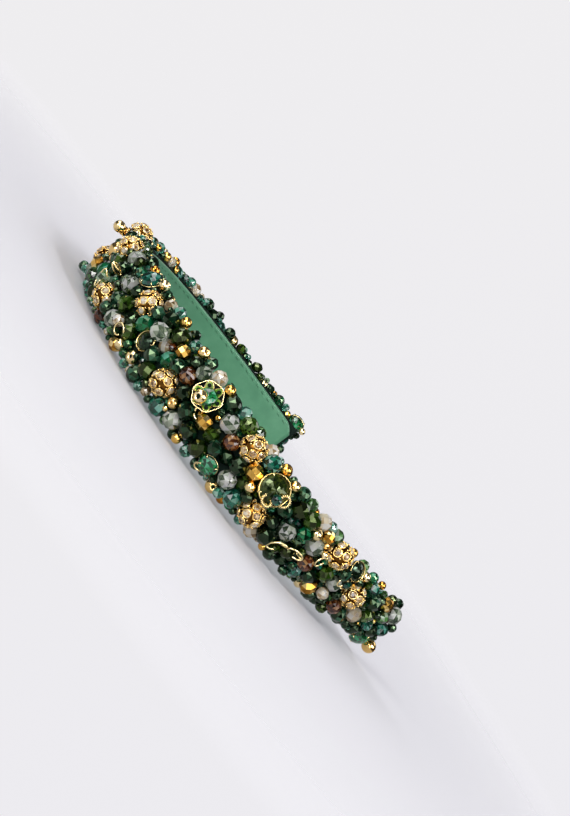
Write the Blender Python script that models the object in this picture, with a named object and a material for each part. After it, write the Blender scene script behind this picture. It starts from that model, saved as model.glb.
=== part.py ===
"""A beaded headband: a ribbon-covered strip bent to a horseshoe, with a thick field of beads sewn on.

It lies on its front edge. X runs across the head, Y from the crown down to the tips, and Z up, from
the front edge of the band to its back edge. Sizes are in metres.
"""

import math
from collections import namedtuple

import bmesh
import bpy
from mathutils import Matrix, Vector

MM = 0.001
CLEARANCE = 0.3 * MM

# The inside of the strip: a half ellipse over the crown, then two legs that draw in towards the tips
HALF_WIDTH = 73.7 * MM
CROWN_RISE = 67.2 * MM
LEG_LENGTH = 52.4 * MM
TIP_HALF_GAP = 60.3 * MM
OUTLINE_STEPS = 200

# The strip that sits on the head
STRIP_THICKNESS = 1.6 * MM
STRIP_CROWN_WIDTH = 20.0 * MM
STRIP_TIP_WIDTH = 13.0 * MM
STRIP_EDGE = 0.45 * MM
STRIP_TIP_ROUND = 5.0 * MM
STRIP_TIP_DRAW = 0.4
TIP_SECTIONS = (1.0, 0.5)
STRIP_SEGMENTS = 27
TAPER_POWER = 1.5

# The stitched bed that the beads are sunk in: wider than the strip, and domed
BED_OVERHANG = 0.6 * MM
BED_RIM = 1.4 * MM
BED_RISE = 4.5 * MM
BED_TIP_REACH = 1.0 * MM
BED_DOME_POINTS = 5
DOME_POWER = 0.7

# How far beyond the strip's edge the middle of the outermost bead lies
BEAD_REACH = 1.9 * MM
# How deep the beads and stones are sunk in the bed, and how far a neighbour may lift a bead
BEAD_SEAT = 2.4 * MM
BEAD_LIFT_MOST = 1.5 * MM
BEAD_JOIN = 0.80
CRYSTAL_SEAT = 2.6 * MM
CUP_SEAT = 3.2 * MM
FLOWER_SEAT = 2.8 * MM
PAVE_SEAT = BED_RISE
TURNED_FROM = 0.30
LEAN = 0.75

# Bead and stone diameters
PAVE_BALL = 9.6 * MM
CLEAR_CRYSTAL = 6.8 * MM
SMALL_CUP = 7.7 * MM
LARGE_CUP = 8.5 * MM
FLOWER = 11.0 * MM
RIVOLI = 11.6 * MM
DRILLED_BALL = 5.1 * MM
BEAD_LARGE = 6.6 * MM
BEAD_MIDDLE = 5.8 * MM
BEAD_SMALL = 4.9 * MM

GOLD = ((0.83, 0.58, 0.22), 0.25, 1.0)
PALE_GOLD = ((0.95, 0.80, 0.52), 0.18, 1.0)
CLEAR = ((0.86, 0.90, 0.88), 0.05, 0.0)
EMERALD = ((0.01, 0.22, 0.14), 0.08, 0.0)
TEAL = ((0.03, 0.38, 0.30), 0.08, 0.0)
OLIVE = ((0.03, 0.07, 0.02), 0.08, 0.0)
ENAMEL = ((0.20, 0.45, 0.10), 0.20, 0.0)
DARK_BEADS = ((0.02, 0.12, 0.09), 0.12, 0.0)
RIBBON = ((0.62, 0.74, 0.56), 0.45, 0.0)

Kind = namedtuple("Kind", "diameter seat shape sides rings finish")
Stone = namedtuple("Stone", "kind along across")
Placed = namedtuple("Placed", "centre radius facing kind")

KINDS = {
    "pave_ball": Kind(PAVE_BALL, PAVE_SEAT, "ball", 10, 6, GOLD),
    "clear_crystal": Kind(CLEAR_CRYSTAL, CRYSTAL_SEAT, "ball", 10, 5, CLEAR),
    "emerald_cup": Kind(SMALL_CUP, CUP_SEAT, "cup", 12, 0, EMERALD),
    "dark_cup": Kind(SMALL_CUP, CUP_SEAT, "cup", 12, 0, OLIVE),
    "teal_cup": Kind(LARGE_CUP, CUP_SEAT, "cup", 12, 0, TEAL),
    "flower": Kind(FLOWER, FLOWER_SEAT, "flower", 18, 0, ENAMEL),
    "rivoli": Kind(RIVOLI, CUP_SEAT, "cup", 12, 0, OLIVE),
    "drilled_ball": Kind(DRILLED_BALL, CRYSTAL_SEAT, "ball", 10, 5, PALE_GOLD),
    "large": Kind(BEAD_LARGE, BEAD_SEAT, "ball", 10, 4, DARK_BEADS),
    "middle": Kind(BEAD_MIDDLE, BEAD_SEAT, "ball", 10, 4, DARK_BEADS),
    "small": Kind(BEAD_SMALL, BEAD_SEAT, "ball", 10, 4, DARK_BEADS),
}

# Main stones. along: share of the way from the crown to a tip, minus on the right half.
# across: share of the way from the middle to the outermost bead, minus towards the front edge.
STONES = [
    Stone("pave_ball", 0.005, -0.55),
    Stone("pave_ball", 0.11, 0.45),
    Stone("pave_ball", 0.275, -0.40),
    Stone("pave_ball", 0.47, 0.65),
    Stone("pave_ball", 0.56, -0.60),
    Stone("pave_ball", 0.74, 0.70),
    Stone("pave_ball", 0.845, 0.10),
    Stone("pave_ball", -0.115, 0.65),
    Stone("pave_ball", -0.22, -0.25),
    Stone("pave_ball", -0.265, 0.90),
    Stone("flower", 0.35, 0.45),
    Stone("rivoli", 0.545, 0.40),
    Stone("teal_cup", 0.055, 0.80),
    Stone("dark_cup", 0.185, -0.15),
    Stone("emerald_cup", 0.445, -0.72),
    Stone("dark_cup", 0.80, 0.75),
    Stone("emerald_cup", 0.99, -0.90),
    Stone("clear_crystal", -0.045, 0.70),
    Stone("clear_crystal", 0.03, 0.25),
    Stone("clear_crystal", 0.08, -0.65),
    Stone("clear_crystal", 0.20, 0.35),
    Stone("clear_crystal", 0.34, -0.80),
    Stone("clear_crystal", 0.41, 0.50),
    Stone("clear_crystal", 0.485, -0.55),
    Stone("clear_crystal", 0.625, -0.10),
    Stone("clear_crystal", 0.685, 0.25),
    Stone("clear_crystal", 0.995, 0.65),
    Stone("drilled_ball", -0.235, 0.40),
    Stone("drilled_ball", 0.185, -0.74),
    Stone("drilled_ball", 0.48, -1.05),
    Stone("drilled_ball", 1.028, -0.92),
]
TURNED_KINDS = ("pave_ball", "flower", "rivoli", "emerald_cup")

# Beads sewn straight to the bed on the left half. The right half has the same rows turned end for end.
BEADS = [
    Stone("middle", 0.035, -0.95),
    Stone("small", 0.05, -0.30),
    Stone("large", 0.075, -0.15),
    Stone("small", 0.105, 1.00),
    Stone("large", 0.125, -0.20),
    Stone("middle", 0.13, -0.90),
    Stone("large", 0.165, 0.75),
    Stone("middle", 0.155, 0.15),
    Stone("middle", 0.22, 0.80),
    Stone("middle", 0.215, -0.90),
    Stone("large", 0.24, 0.10),
    Stone("small", 0.265, 0.95),
    Stone("middle", 0.285, 0.35),
    Stone("middle", 0.285, -0.95),
    Stone("small", 0.32, -0.20),
    Stone("small", 0.315, 0.95),
    Stone("large", 0.38, -0.55),
    Stone("middle", 0.385, -0.05),
    Stone("middle", 0.39, 1.00),
    Stone("small", 0.395, -1.00),
    Stone("large", 0.425, -0.30),
    Stone("large", 0.43, 0.90),
    Stone("middle", 0.435, 0.25),
    Stone("large", 0.48, -0.05),
    Stone("middle", 0.515, -0.90),
    Stone("large", 0.51, 0.85),
    Stone("small", 0.52, -0.20),
    Stone("small", 0.575, 0.95),
    Stone("large", 0.605, -0.50),
    Stone("middle", 0.60, 0.60),
    Stone("small", 0.60, -0.95),
    Stone("middle", 0.645, 0.85),
    Stone("middle", 0.65, 0.20),
    Stone("middle", 0.655, -0.80),
    Stone("small", 0.66, -0.30),
    Stone("small", 0.69, 0.95),
    Stone("middle", 0.70, -0.35),
    Stone("middle", 0.705, -0.90),
    Stone("large", 0.745, -0.15),
    Stone("middle", 0.75, -0.75),
    Stone("small", 0.785, 0.10),
    Stone("small", 0.795, -0.80),
    Stone("middle", 0.83, -0.65),
    Stone("small", 0.865, 0.95),
    Stone("middle", 0.885, -0.45),
    Stone("middle", 0.895, 0.65),
    Stone("small", 0.885, -0.95),
    Stone("middle", 0.915, 0.05),
    Stone("middle", 0.945, 0.75),
    Stone("small", 0.945, -0.75),
    Stone("middle", 0.96, -0.10),
    Stone("small", 0.995, -0.15),
]

# A cut stone in its cup, as shares of the radius: how far out and how far up each edge lies
CUP_PROFILE = [(0.34, -0.93), (0.94, 0.08), (0.94, 0.32), (0.80, 0.34), (0.48, 0.64)]
# A bell flower: out over the petals, back under the gold ball, and over the ball
FLOWER_PROFILE = [
    (0.28, -0.95),
    (0.60, -0.32),
    (0.96, 0.02),
    (0.98, 0.14),
    (0.62, -0.06),
    (0.40, 0.02),
    (0.40, 0.34),
    (0.22, 0.54),
]
FLOWER_PETALS = 6
PETAL_NOTCH = 0.13
WELL_SIDES = 8


def clear_scene():
    for old in list(bpy.data.objects):
        bpy.data.objects.remove(old)


def half_outline():
    """Points and distances along the inside of the left half, from the crown to the tip."""
    points = []
    for step in range(OUTLINE_STEPS + 1):
        turn = math.pi / 2 * step / OUTLINE_STEPS
        points.append(Vector((HALF_WIDTH * math.sin(turn), CROWN_RISE * (1 - math.cos(turn)))))
    for step in range(1, OUTLINE_STEPS + 1):
        down = step / OUTLINE_STEPS
        inward = (HALF_WIDTH - TIP_HALF_GAP) * down**2
        points.append(Vector((HALF_WIDTH - inward, CROWN_RISE + LEG_LENGTH * down)))
    distances = [0.0]
    for first, second in zip(points, points[1:]):
        distances.append(distances[-1] + (second - first).length)
    return points, distances


OUTLINE, DISTANCES = half_outline()
HALF_ARC = DISTANCES[-1]


def station(distance):
    """The point on the strip's inside at a distance from the crown, and the outward direction there."""
    reach = abs(distance)
    span = 0
    while span < len(OUTLINE) - 2 and DISTANCES[span + 1] < reach:
        span += 1
    first, second = OUTLINE[span], OUTLINE[span + 1]
    along = (second - first).normalized()
    point = first + along * (reach - DISTANCES[span])
    before = OUTLINE[max(span - 1, 0)]
    after = OUTLINE[min(span + 2, len(OUTLINE) - 1)]
    tangent = (after - before).normalized()
    side = 1 if distance >= 0 else -1
    outward = Vector((tangent.y * side, -tangent.x))
    return Vector((point.x * side, point.y)), outward


def lifted(distance, height, level):
    """The place at a distance from the crown, a height off the strip's inside and a level across it."""
    point, outward = station(distance)
    return Vector((*(point + outward * height), level))


def strip_width(distance):
    share = min(abs(distance) / HALF_ARC, 1.0)
    return STRIP_CROWN_WIDTH + (STRIP_TIP_WIDTH - STRIP_CROWN_WIDTH) * share**TAPER_POWER


def bed_half_width(distance):
    return strip_width(distance) / 2 + BED_OVERHANG


def bed_base():
    return STRIP_THICKNESS + CLEARANCE


def bed_top(distance, level):
    """Height of the bed's surface at a level across the band."""
    share = min(abs(level) / bed_half_width(distance), 1.0)
    dome = (1 - share**2) ** (DOME_POWER / 2)
    return bed_base() + BED_RIM + (BED_RISE - BED_RIM) * dome


def strip_stations():
    return [HALF_ARC * (2 * step / STRIP_SEGMENTS - 1) for step in range(STRIP_SEGMENTS + 1)]


def mesh_object(name, mesh, finish):
    """An object with its own finish, linked to the scene."""
    colour, roughness, metallic = finish
    material = bpy.data.materials.new(name)
    material.use_nodes = True
    shader = material.node_tree.nodes["Principled BSDF"]
    shader.inputs["Base Color"].default_value = (*colour, 1.0)
    shader.inputs["Roughness"].default_value = roughness
    shader.inputs["Metallic"].default_value = metallic
    part = bpy.data.objects.new(name, mesh)
    part.data.materials.append(material)
    bpy.context.scene.collection.objects.link(part)
    return part


def swept(name, sections):
    """A closed mesh through a row of like sections, each a list of points."""
    bm = bmesh.new()
    rings = [[bm.verts.new(point) for point in section] for section in sections]
    for near, far in zip(rings, rings[1:]):
        for corner in range(len(near)):
            after = (corner + 1) % len(near)
            bm.faces.new((near[corner], near[after], far[after], far[corner]))
    bm.faces.new(reversed(rings[0]))
    bm.faces.new(rings[-1])
    bmesh.ops.recalc_face_normals(bm, faces=bm.faces)
    mesh = bpy.data.meshes.new(name)
    bm.to_mesh(mesh)
    bm.free()
    return mesh


def strip_section(distance):
    """The strip's cross-section, chamfered on the inside and drawn in at the rounded tips."""
    half = strip_width(distance) / 2
    to_end = HALF_ARC - abs(distance)
    if to_end < STRIP_TIP_ROUND:
        half *= 1 - STRIP_TIP_DRAW * (1 - to_end / STRIP_TIP_ROUND) ** 2
    profile = [
        (0, STRIP_EDGE - half),
        (0, half - STRIP_EDGE),
        (STRIP_EDGE, half),
        (STRIP_THICKNESS, half),
        (STRIP_THICKNESS, -half),
        (STRIP_EDGE, -half),
    ]
    return [lifted(distance, height, level) for height, level in profile]


def make_strip():
    distances = strip_stations()
    for share in TIP_SECTIONS:
        distances.append(HALF_ARC - STRIP_TIP_ROUND * share)
        distances.append(STRIP_TIP_ROUND * share - HALF_ARC)
    sections = [strip_section(distance) for distance in sorted(distances)]
    return mesh_object("strip", swept("strip", sections), RIBBON)


def bed_section(distance):
    """The bed's cross-section: a flat base, two low rims and a shallow dome."""
    half = bed_half_width(distance)
    profile = [(bed_base(), -half), (bed_base(), half)]
    for step in range(BED_DOME_POINTS):
        level = half * math.cos(math.pi * step / (BED_DOME_POINTS - 1))
        profile.append((bed_top(distance, level), level))
    return [lifted(distance, height, level) for height, level in profile]


def bed_mesh(side):
    """The bed of one half. It ends just short of the crown plane, so that the two halves meet."""
    distances = [CLEARANCE / 2]
    distances += [distance for distance in strip_stations() if distance > 0]
    distances.append(HALF_ARC + BED_TIP_REACH)
    sections = [bed_section(side * distance) for distance in distances]
    return swept("bed", sections)


def turned_mesh(name, profile, sides, notch=0.0, petals=0):
    """A closed turned body of unit radius. With petals, its outer edge is scalloped."""
    bm = bmesh.new()
    rings = []
    for reach, height in profile:
        ring = []
        for side in range(sides):
            turn = 2 * math.pi * side / sides
            scallop = notch * reach**3 * (0.5 + 0.5 * math.cos(petals * turn)) if petals else 0.0
            out = reach * (1 - scallop)
            ring.append(bm.verts.new((out * math.cos(turn), out * math.sin(turn), height)))
        rings.append(ring)
    for low, high in zip(rings, rings[1:]):
        for side in range(sides):
            after = (side + 1) % sides
            bm.faces.new((low[side], low[after], high[after], high[side]))
    bm.faces.new(reversed(rings[0]))
    bm.faces.new(rings[-1])
    bmesh.ops.recalc_face_normals(bm, faces=bm.faces)
    mesh = bpy.data.meshes.new(name)
    bm.to_mesh(mesh)
    bm.free()
    return mesh


def ball_mesh(name, sides, rings):
    bm = bmesh.new()
    bmesh.ops.create_uvsphere(bm, u_segments=sides, v_segments=rings, radius=1.0)
    mesh = bpy.data.meshes.new(name)
    bm.to_mesh(mesh)
    bm.free()
    return mesh


def unit_mesh(kind):
    if kind.shape == "ball":
        return ball_mesh("ball", kind.sides, kind.rings)
    if kind.shape == "cup":
        return turned_mesh("cup", CUP_PROFILE, kind.sides)
    return turned_mesh("flower", FLOWER_PROFILE, kind.sides, PETAL_NOTCH, FLOWER_PETALS)


def over_strip(distance, level, radius):
    """Lowest height at which a ball clears the strip."""
    beyond = max(abs(level) - strip_width(distance) / 2, 0.0)
    need = radius + CLEARANCE
    if beyond >= need:
        return 0.0
    return STRIP_THICKNESS + math.sqrt(need**2 - beyond**2)


def raised_clear(centre, outward, radius, placed, gap):
    """How far a ball has to rise along outward until it clears each placed ball by the gap."""
    rise = 0.0
    moved = True
    while moved:
        moved = False
        for other in placed:
            away = centre + outward * rise - other.centre
            need = radius + other.radius + gap
            if away.length < need - 1e-7:
                along = away.dot(outward)
                rise += math.sqrt(along**2 + need**2 - away.length_squared) - along
                moved = True
    return rise


def seated(stone):
    """Where a stone's middle lies when it is sunk in the bed, its outward direction and its radius."""
    kind = KINDS[stone.kind]
    radius = kind.diameter / 2
    distance = stone.along * HALF_ARC
    level = stone.across * (strip_width(distance) / 2 + BEAD_REACH)
    rest = bed_top(distance, level) + radius - kind.seat
    height = max(rest, over_strip(distance, level, radius))
    outward = Vector((*station(distance)[1], 0.0))
    return lifted(distance, height, level), outward, radius


def facing(stone, outward):
    """The way a stone faces: a ball outward, and a cup or flower leaning towards its own edge of the band."""
    if KINDS[stone.kind].shape == "ball":
        return outward
    return (outward + Vector((0.0, 0.0, LEAN * stone.across))).normalized()


def placed_stones():
    """The main stones, each raised where it needs to be to clear the ones before it."""
    rows = list(STONES)
    for row in STONES:
        if row.along > TURNED_FROM and row.kind in TURNED_KINDS:
            rows.append(Stone(row.kind, -row.along, -row.across))
    placed = []
    for row in rows:
        centre, outward, radius = seated(row)
        centre += outward * raised_clear(centre, outward, radius, placed, CLEARANCE)
        placed.append(Placed(centre, radius, facing(row, outward), row.kind))
    return placed


def placed_beads(side, stones):
    """The beads of one half, each sunk in the bed. One that another leaves no room for is left out."""
    placed = []
    for row in BEADS:
        turned = Stone(row.kind, side * row.along, side * row.across)
        centre, outward, radius = seated(turned)
        if abs(centre.x) < radius + CLEARANCE:
            continue
        joined = -(1 - BEAD_JOIN) * 2 * radius
        rise = raised_clear(centre, outward, radius, stones, CLEARANCE)
        rise = max(rise, raised_clear(centre, outward, radius, placed, joined))
        if rise > BEAD_LIFT_MOST:
            continue
        centre += outward * rise
        placed.append(Placed(centre, radius, facing(turned, outward), row.kind))
    return placed


def stand(part, spot, size=1.0):
    """Puts a shape at its spot with its top facing the spot's way."""
    turn = spot.facing.to_track_quat("Z", "Y").to_matrix().to_4x4()
    part.data.transform(Matrix.Translation(spot.centre) @ turn @ Matrix.Scale(size, 4))


def make_stones(placed, root):
    counts = {}
    for spot in placed:
        kind = KINDS[spot.kind]
        counts[spot.kind] = counts.get(spot.kind, 0) + 1
        name = f"{spot.kind}_{counts[spot.kind]:02d}"
        part = mesh_object(name, unit_mesh(kind), kind.finish)
        stand(part, spot, spot.radius)
        if kind.shape == "ball":
            part.data.shade_smooth()
        part.parent = root


def well_mesh(spot):
    """A round well with a flat floor, which holds a stone up to its middle and is open above it."""
    radius = (spot.radius + CLEARANCE) / math.cos(math.pi / WELL_SIDES)
    floor = -(spot.radius + CLEARANCE)
    bm = bmesh.new()
    bmesh.ops.create_cone(
        bm, cap_ends=True, segments=WELL_SIDES, radius1=radius, radius2=radius, depth=-3 * floor
    )
    bmesh.ops.translate(bm, verts=bm.verts, vec=(0, 0, -floor / 2))
    mesh = bpy.data.meshes.new("well")
    bm.to_mesh(mesh)
    bm.free()
    return mesh


def helper_group(name, spots, make_mesh, root):
    """Hidden bodies for a cut or a join, one for each spot."""
    group = bpy.data.collections.new(name)
    bpy.context.scene.collection.children.link(group)
    for spot in spots:
        helper = bpy.data.objects.new(name, make_mesh(spot))
        stand(helper, spot)
        helper.hide_render = True
        helper.display_type = "WIRE"
        helper.parent = root
        group.objects.link(helper)
    return group


def bead_mesh(spot):
    mesh = unit_mesh(KINDS[spot.kind])
    mesh.transform(Matrix.Scale(spot.radius, 4))
    return mesh


def make_field(name, side, stones, root):
    """One half of the bead field: the bed, cut for the main stones and joined with its beads."""
    field = mesh_object(name, bed_mesh(side), DARK_BEADS)
    field.parent = root
    beads = placed_beads(side, stones)
    near = [spot for spot in stones if side * spot.centre.x > -spot.radius - CLEARANCE]
    cut = field.modifiers.new("seats", "BOOLEAN")
    cut.operation = "DIFFERENCE"
    cut.operand_type = "COLLECTION"
    cut.collection = helper_group(f"{name}_seats", near, well_mesh, root)
    join = field.modifiers.new("beads", "BOOLEAN")
    join.operation = "UNION"
    join.operand_type = "COLLECTION"
    join.collection = helper_group(f"{name}_beads", beads, bead_mesh, root)


def rest_on_floor(root):
    """Moves everything so that the origin is at the bottom, in the middle."""
    bpy.context.view_layer.update()
    graph = bpy.context.evaluated_depsgraph_get()
    corners = []
    for part in root.children:
        if part.hide_render:
            continue
        mesh = part.evaluated_get(graph).to_mesh()
        corners += [vertex.co.copy() for vertex in mesh.vertices]
        part.evaluated_get(graph).to_mesh_clear()
    low = [min(corner[axis] for corner in corners) for axis in range(3)]
    high = [max(corner[axis] for corner in corners) for axis in range(3)]
    root.location = (-(low[0] + high[0]) / 2, -(low[1] + high[1]) / 2, -low[2])


def main():
    clear_scene()
    root = bpy.data.objects.new("headband", None)
    bpy.context.scene.collection.objects.link(root)
    make_strip().parent = root
    stones = placed_stones()
    make_stones(stones, root)
    make_field("bead_field_left", 1, stones, root)
    make_field("bead_field_right", -1, stones, root)
    rest_on_floor(root)


main()
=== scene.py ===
"""The looks of the beaded headband: ribbon, stitched bed, cut glass, set stones and wire work.

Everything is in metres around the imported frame. Places on the band are worked out in the band's own
frame, as the solids are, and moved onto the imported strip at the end.
"""

import math
import random
from collections import namedtuple

import bpy
import numpy as np
from mathutils import Matrix, Vector


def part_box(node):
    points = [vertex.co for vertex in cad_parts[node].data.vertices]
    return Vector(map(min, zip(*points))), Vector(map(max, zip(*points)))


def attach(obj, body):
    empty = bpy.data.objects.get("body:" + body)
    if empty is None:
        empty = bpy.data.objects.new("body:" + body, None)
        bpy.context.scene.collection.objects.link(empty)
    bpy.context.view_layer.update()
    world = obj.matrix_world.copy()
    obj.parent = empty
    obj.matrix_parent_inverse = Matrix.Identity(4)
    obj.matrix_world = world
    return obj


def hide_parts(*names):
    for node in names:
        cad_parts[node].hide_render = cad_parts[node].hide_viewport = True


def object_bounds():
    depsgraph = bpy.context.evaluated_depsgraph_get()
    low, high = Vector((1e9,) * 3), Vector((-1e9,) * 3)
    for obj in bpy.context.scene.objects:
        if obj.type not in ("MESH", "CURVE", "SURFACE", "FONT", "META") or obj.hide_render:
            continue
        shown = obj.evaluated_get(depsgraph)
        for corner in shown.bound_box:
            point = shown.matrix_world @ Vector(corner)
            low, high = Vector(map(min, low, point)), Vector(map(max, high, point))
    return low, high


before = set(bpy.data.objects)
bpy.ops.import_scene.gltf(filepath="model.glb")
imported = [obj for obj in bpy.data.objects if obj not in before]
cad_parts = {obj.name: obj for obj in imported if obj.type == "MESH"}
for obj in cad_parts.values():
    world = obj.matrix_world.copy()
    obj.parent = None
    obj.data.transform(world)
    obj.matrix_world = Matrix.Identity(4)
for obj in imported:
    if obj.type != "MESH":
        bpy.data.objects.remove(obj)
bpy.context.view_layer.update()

MM = 0.001
CLEARANCE = 0.3 * MM

# The band's own sizes, as in the solids
HALF_WIDTH = 73.7 * MM
CROWN_RISE = 67.2 * MM
LEG_LENGTH = 52.4 * MM
TIP_HALF_GAP = 60.3 * MM
OUTLINE_STEPS = 200
STRIP_THICKNESS = 1.6 * MM
STRIP_CROWN_WIDTH = 20.0 * MM
STRIP_TIP_WIDTH = 13.0 * MM
STRIP_TIP_ROUND = 5.0 * MM
STRIP_TIP_DRAW = 0.4
STRIP_SEGMENTS = 27
TAPER_POWER = 1.5
BED_BASE = STRIP_THICKNESS + CLEARANCE
BED_OVERHANG = 0.6 * MM
BED_RIM = 1.4 * MM
BED_RISE = 4.5 * MM
BED_TIP_REACH = 1.0 * MM
DOME_POWER = 0.7
BEAD_REACH = 1.9 * MM
BEAD_SEAT = 2.4 * MM
CRYSTAL_SEAT = 2.6 * MM
CUP_SEAT = 3.2 * MM
FLOWER_SEAT = 2.8 * MM
PAVE_SEAT = BED_RISE
TURNED_FROM = 0.30
LEAN = 0.75
PAVE_BALL = 9.6 * MM
CLEAR_CRYSTAL = 6.8 * MM
SMALL_CUP = 7.7 * MM
LARGE_CUP = 8.5 * MM
FLOWER = 11.0 * MM
RIVOLI = 11.6 * MM
DRILLED_BALL = 5.1 * MM

# The photograph's view: where the camera stands round the band, and how far it is rolled
PHOTO_WIDTH = 570
PHOTO_HEIGHT = 816
FOCAL_PIXELS = 2584.0
SENSOR = 36.0
AIM_POINT = Vector((0.0, 60.0 * MM, 0.0))
AIM_PIXEL = (231.7, 413.9)
CAMERA_DISTANCE = 0.9
CAMERA_TURN = math.radians(31.301)
CAMERA_RISE = math.radians(6.096)
CAMERA_ROLL = math.radians(53.279)

Kind = namedtuple("Kind", "diameter seat shape")
Stone = namedtuple("Stone", "kind along across")
Bead = namedtuple("Bead", "look size along across")
Placed = namedtuple("Placed", "centre radius facing kind distance")

KINDS = {
    "pave_ball": Kind(PAVE_BALL, PAVE_SEAT, "ball"),
    "clear_crystal": Kind(CLEAR_CRYSTAL, CRYSTAL_SEAT, "ball"),
    "emerald_cup": Kind(SMALL_CUP, CUP_SEAT, "cup"),
    "dark_cup": Kind(SMALL_CUP, CUP_SEAT, "cup"),
    "teal_cup": Kind(LARGE_CUP, CUP_SEAT, "cup"),
    "flower": Kind(FLOWER, FLOWER_SEAT, "flower"),
    "rivoli": Kind(RIVOLI, CUP_SEAT, "cup"),
    "drilled_ball": Kind(DRILLED_BALL, CRYSTAL_SEAT, "ball"),
}

# The main stones, as in the solids. along: share of the way from the crown to a tip, minus on the
# right half. across: share of the way from the middle to the outermost bead, minus to the front edge.
STONES = [Stone(*row) for row in (
    ("pave_ball", 0.005, -0.55), ("pave_ball", 0.11, 0.45), ("pave_ball", 0.275, -0.40),
    ("pave_ball", 0.47, 0.65), ("pave_ball", 0.56, -0.60), ("pave_ball", 0.74, 0.70),
    ("pave_ball", 0.845, 0.10), ("pave_ball", -0.115, 0.65), ("pave_ball", -0.22, -0.25),
    ("pave_ball", -0.265, 0.90), ("flower", 0.35, 0.45), ("rivoli", 0.545, 0.40),
    ("teal_cup", 0.055, 0.80), ("dark_cup", 0.185, -0.15), ("emerald_cup", 0.445, -0.72),
    ("dark_cup", 0.80, 0.75), ("emerald_cup", 0.99, -0.90), ("clear_crystal", -0.045, 0.70),
    ("clear_crystal", 0.03, 0.25), ("clear_crystal", 0.08, -0.65), ("clear_crystal", 0.20, 0.35),
    ("clear_crystal", 0.34, -0.80), ("clear_crystal", 0.41, 0.50), ("clear_crystal", 0.485, -0.55),
    ("clear_crystal", 0.625, -0.10), ("clear_crystal", 0.685, 0.25), ("clear_crystal", 0.995, 0.65),
    ("drilled_ball", -0.235, 0.40), ("drilled_ball", 0.185, -0.74), ("drilled_ball", 0.48, -1.05),
    ("drilled_ball", 1.028, -0.92),
)]
TURNED_KINDS = ("pave_ball", "flower", "rivoli", "emerald_cup")

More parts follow.
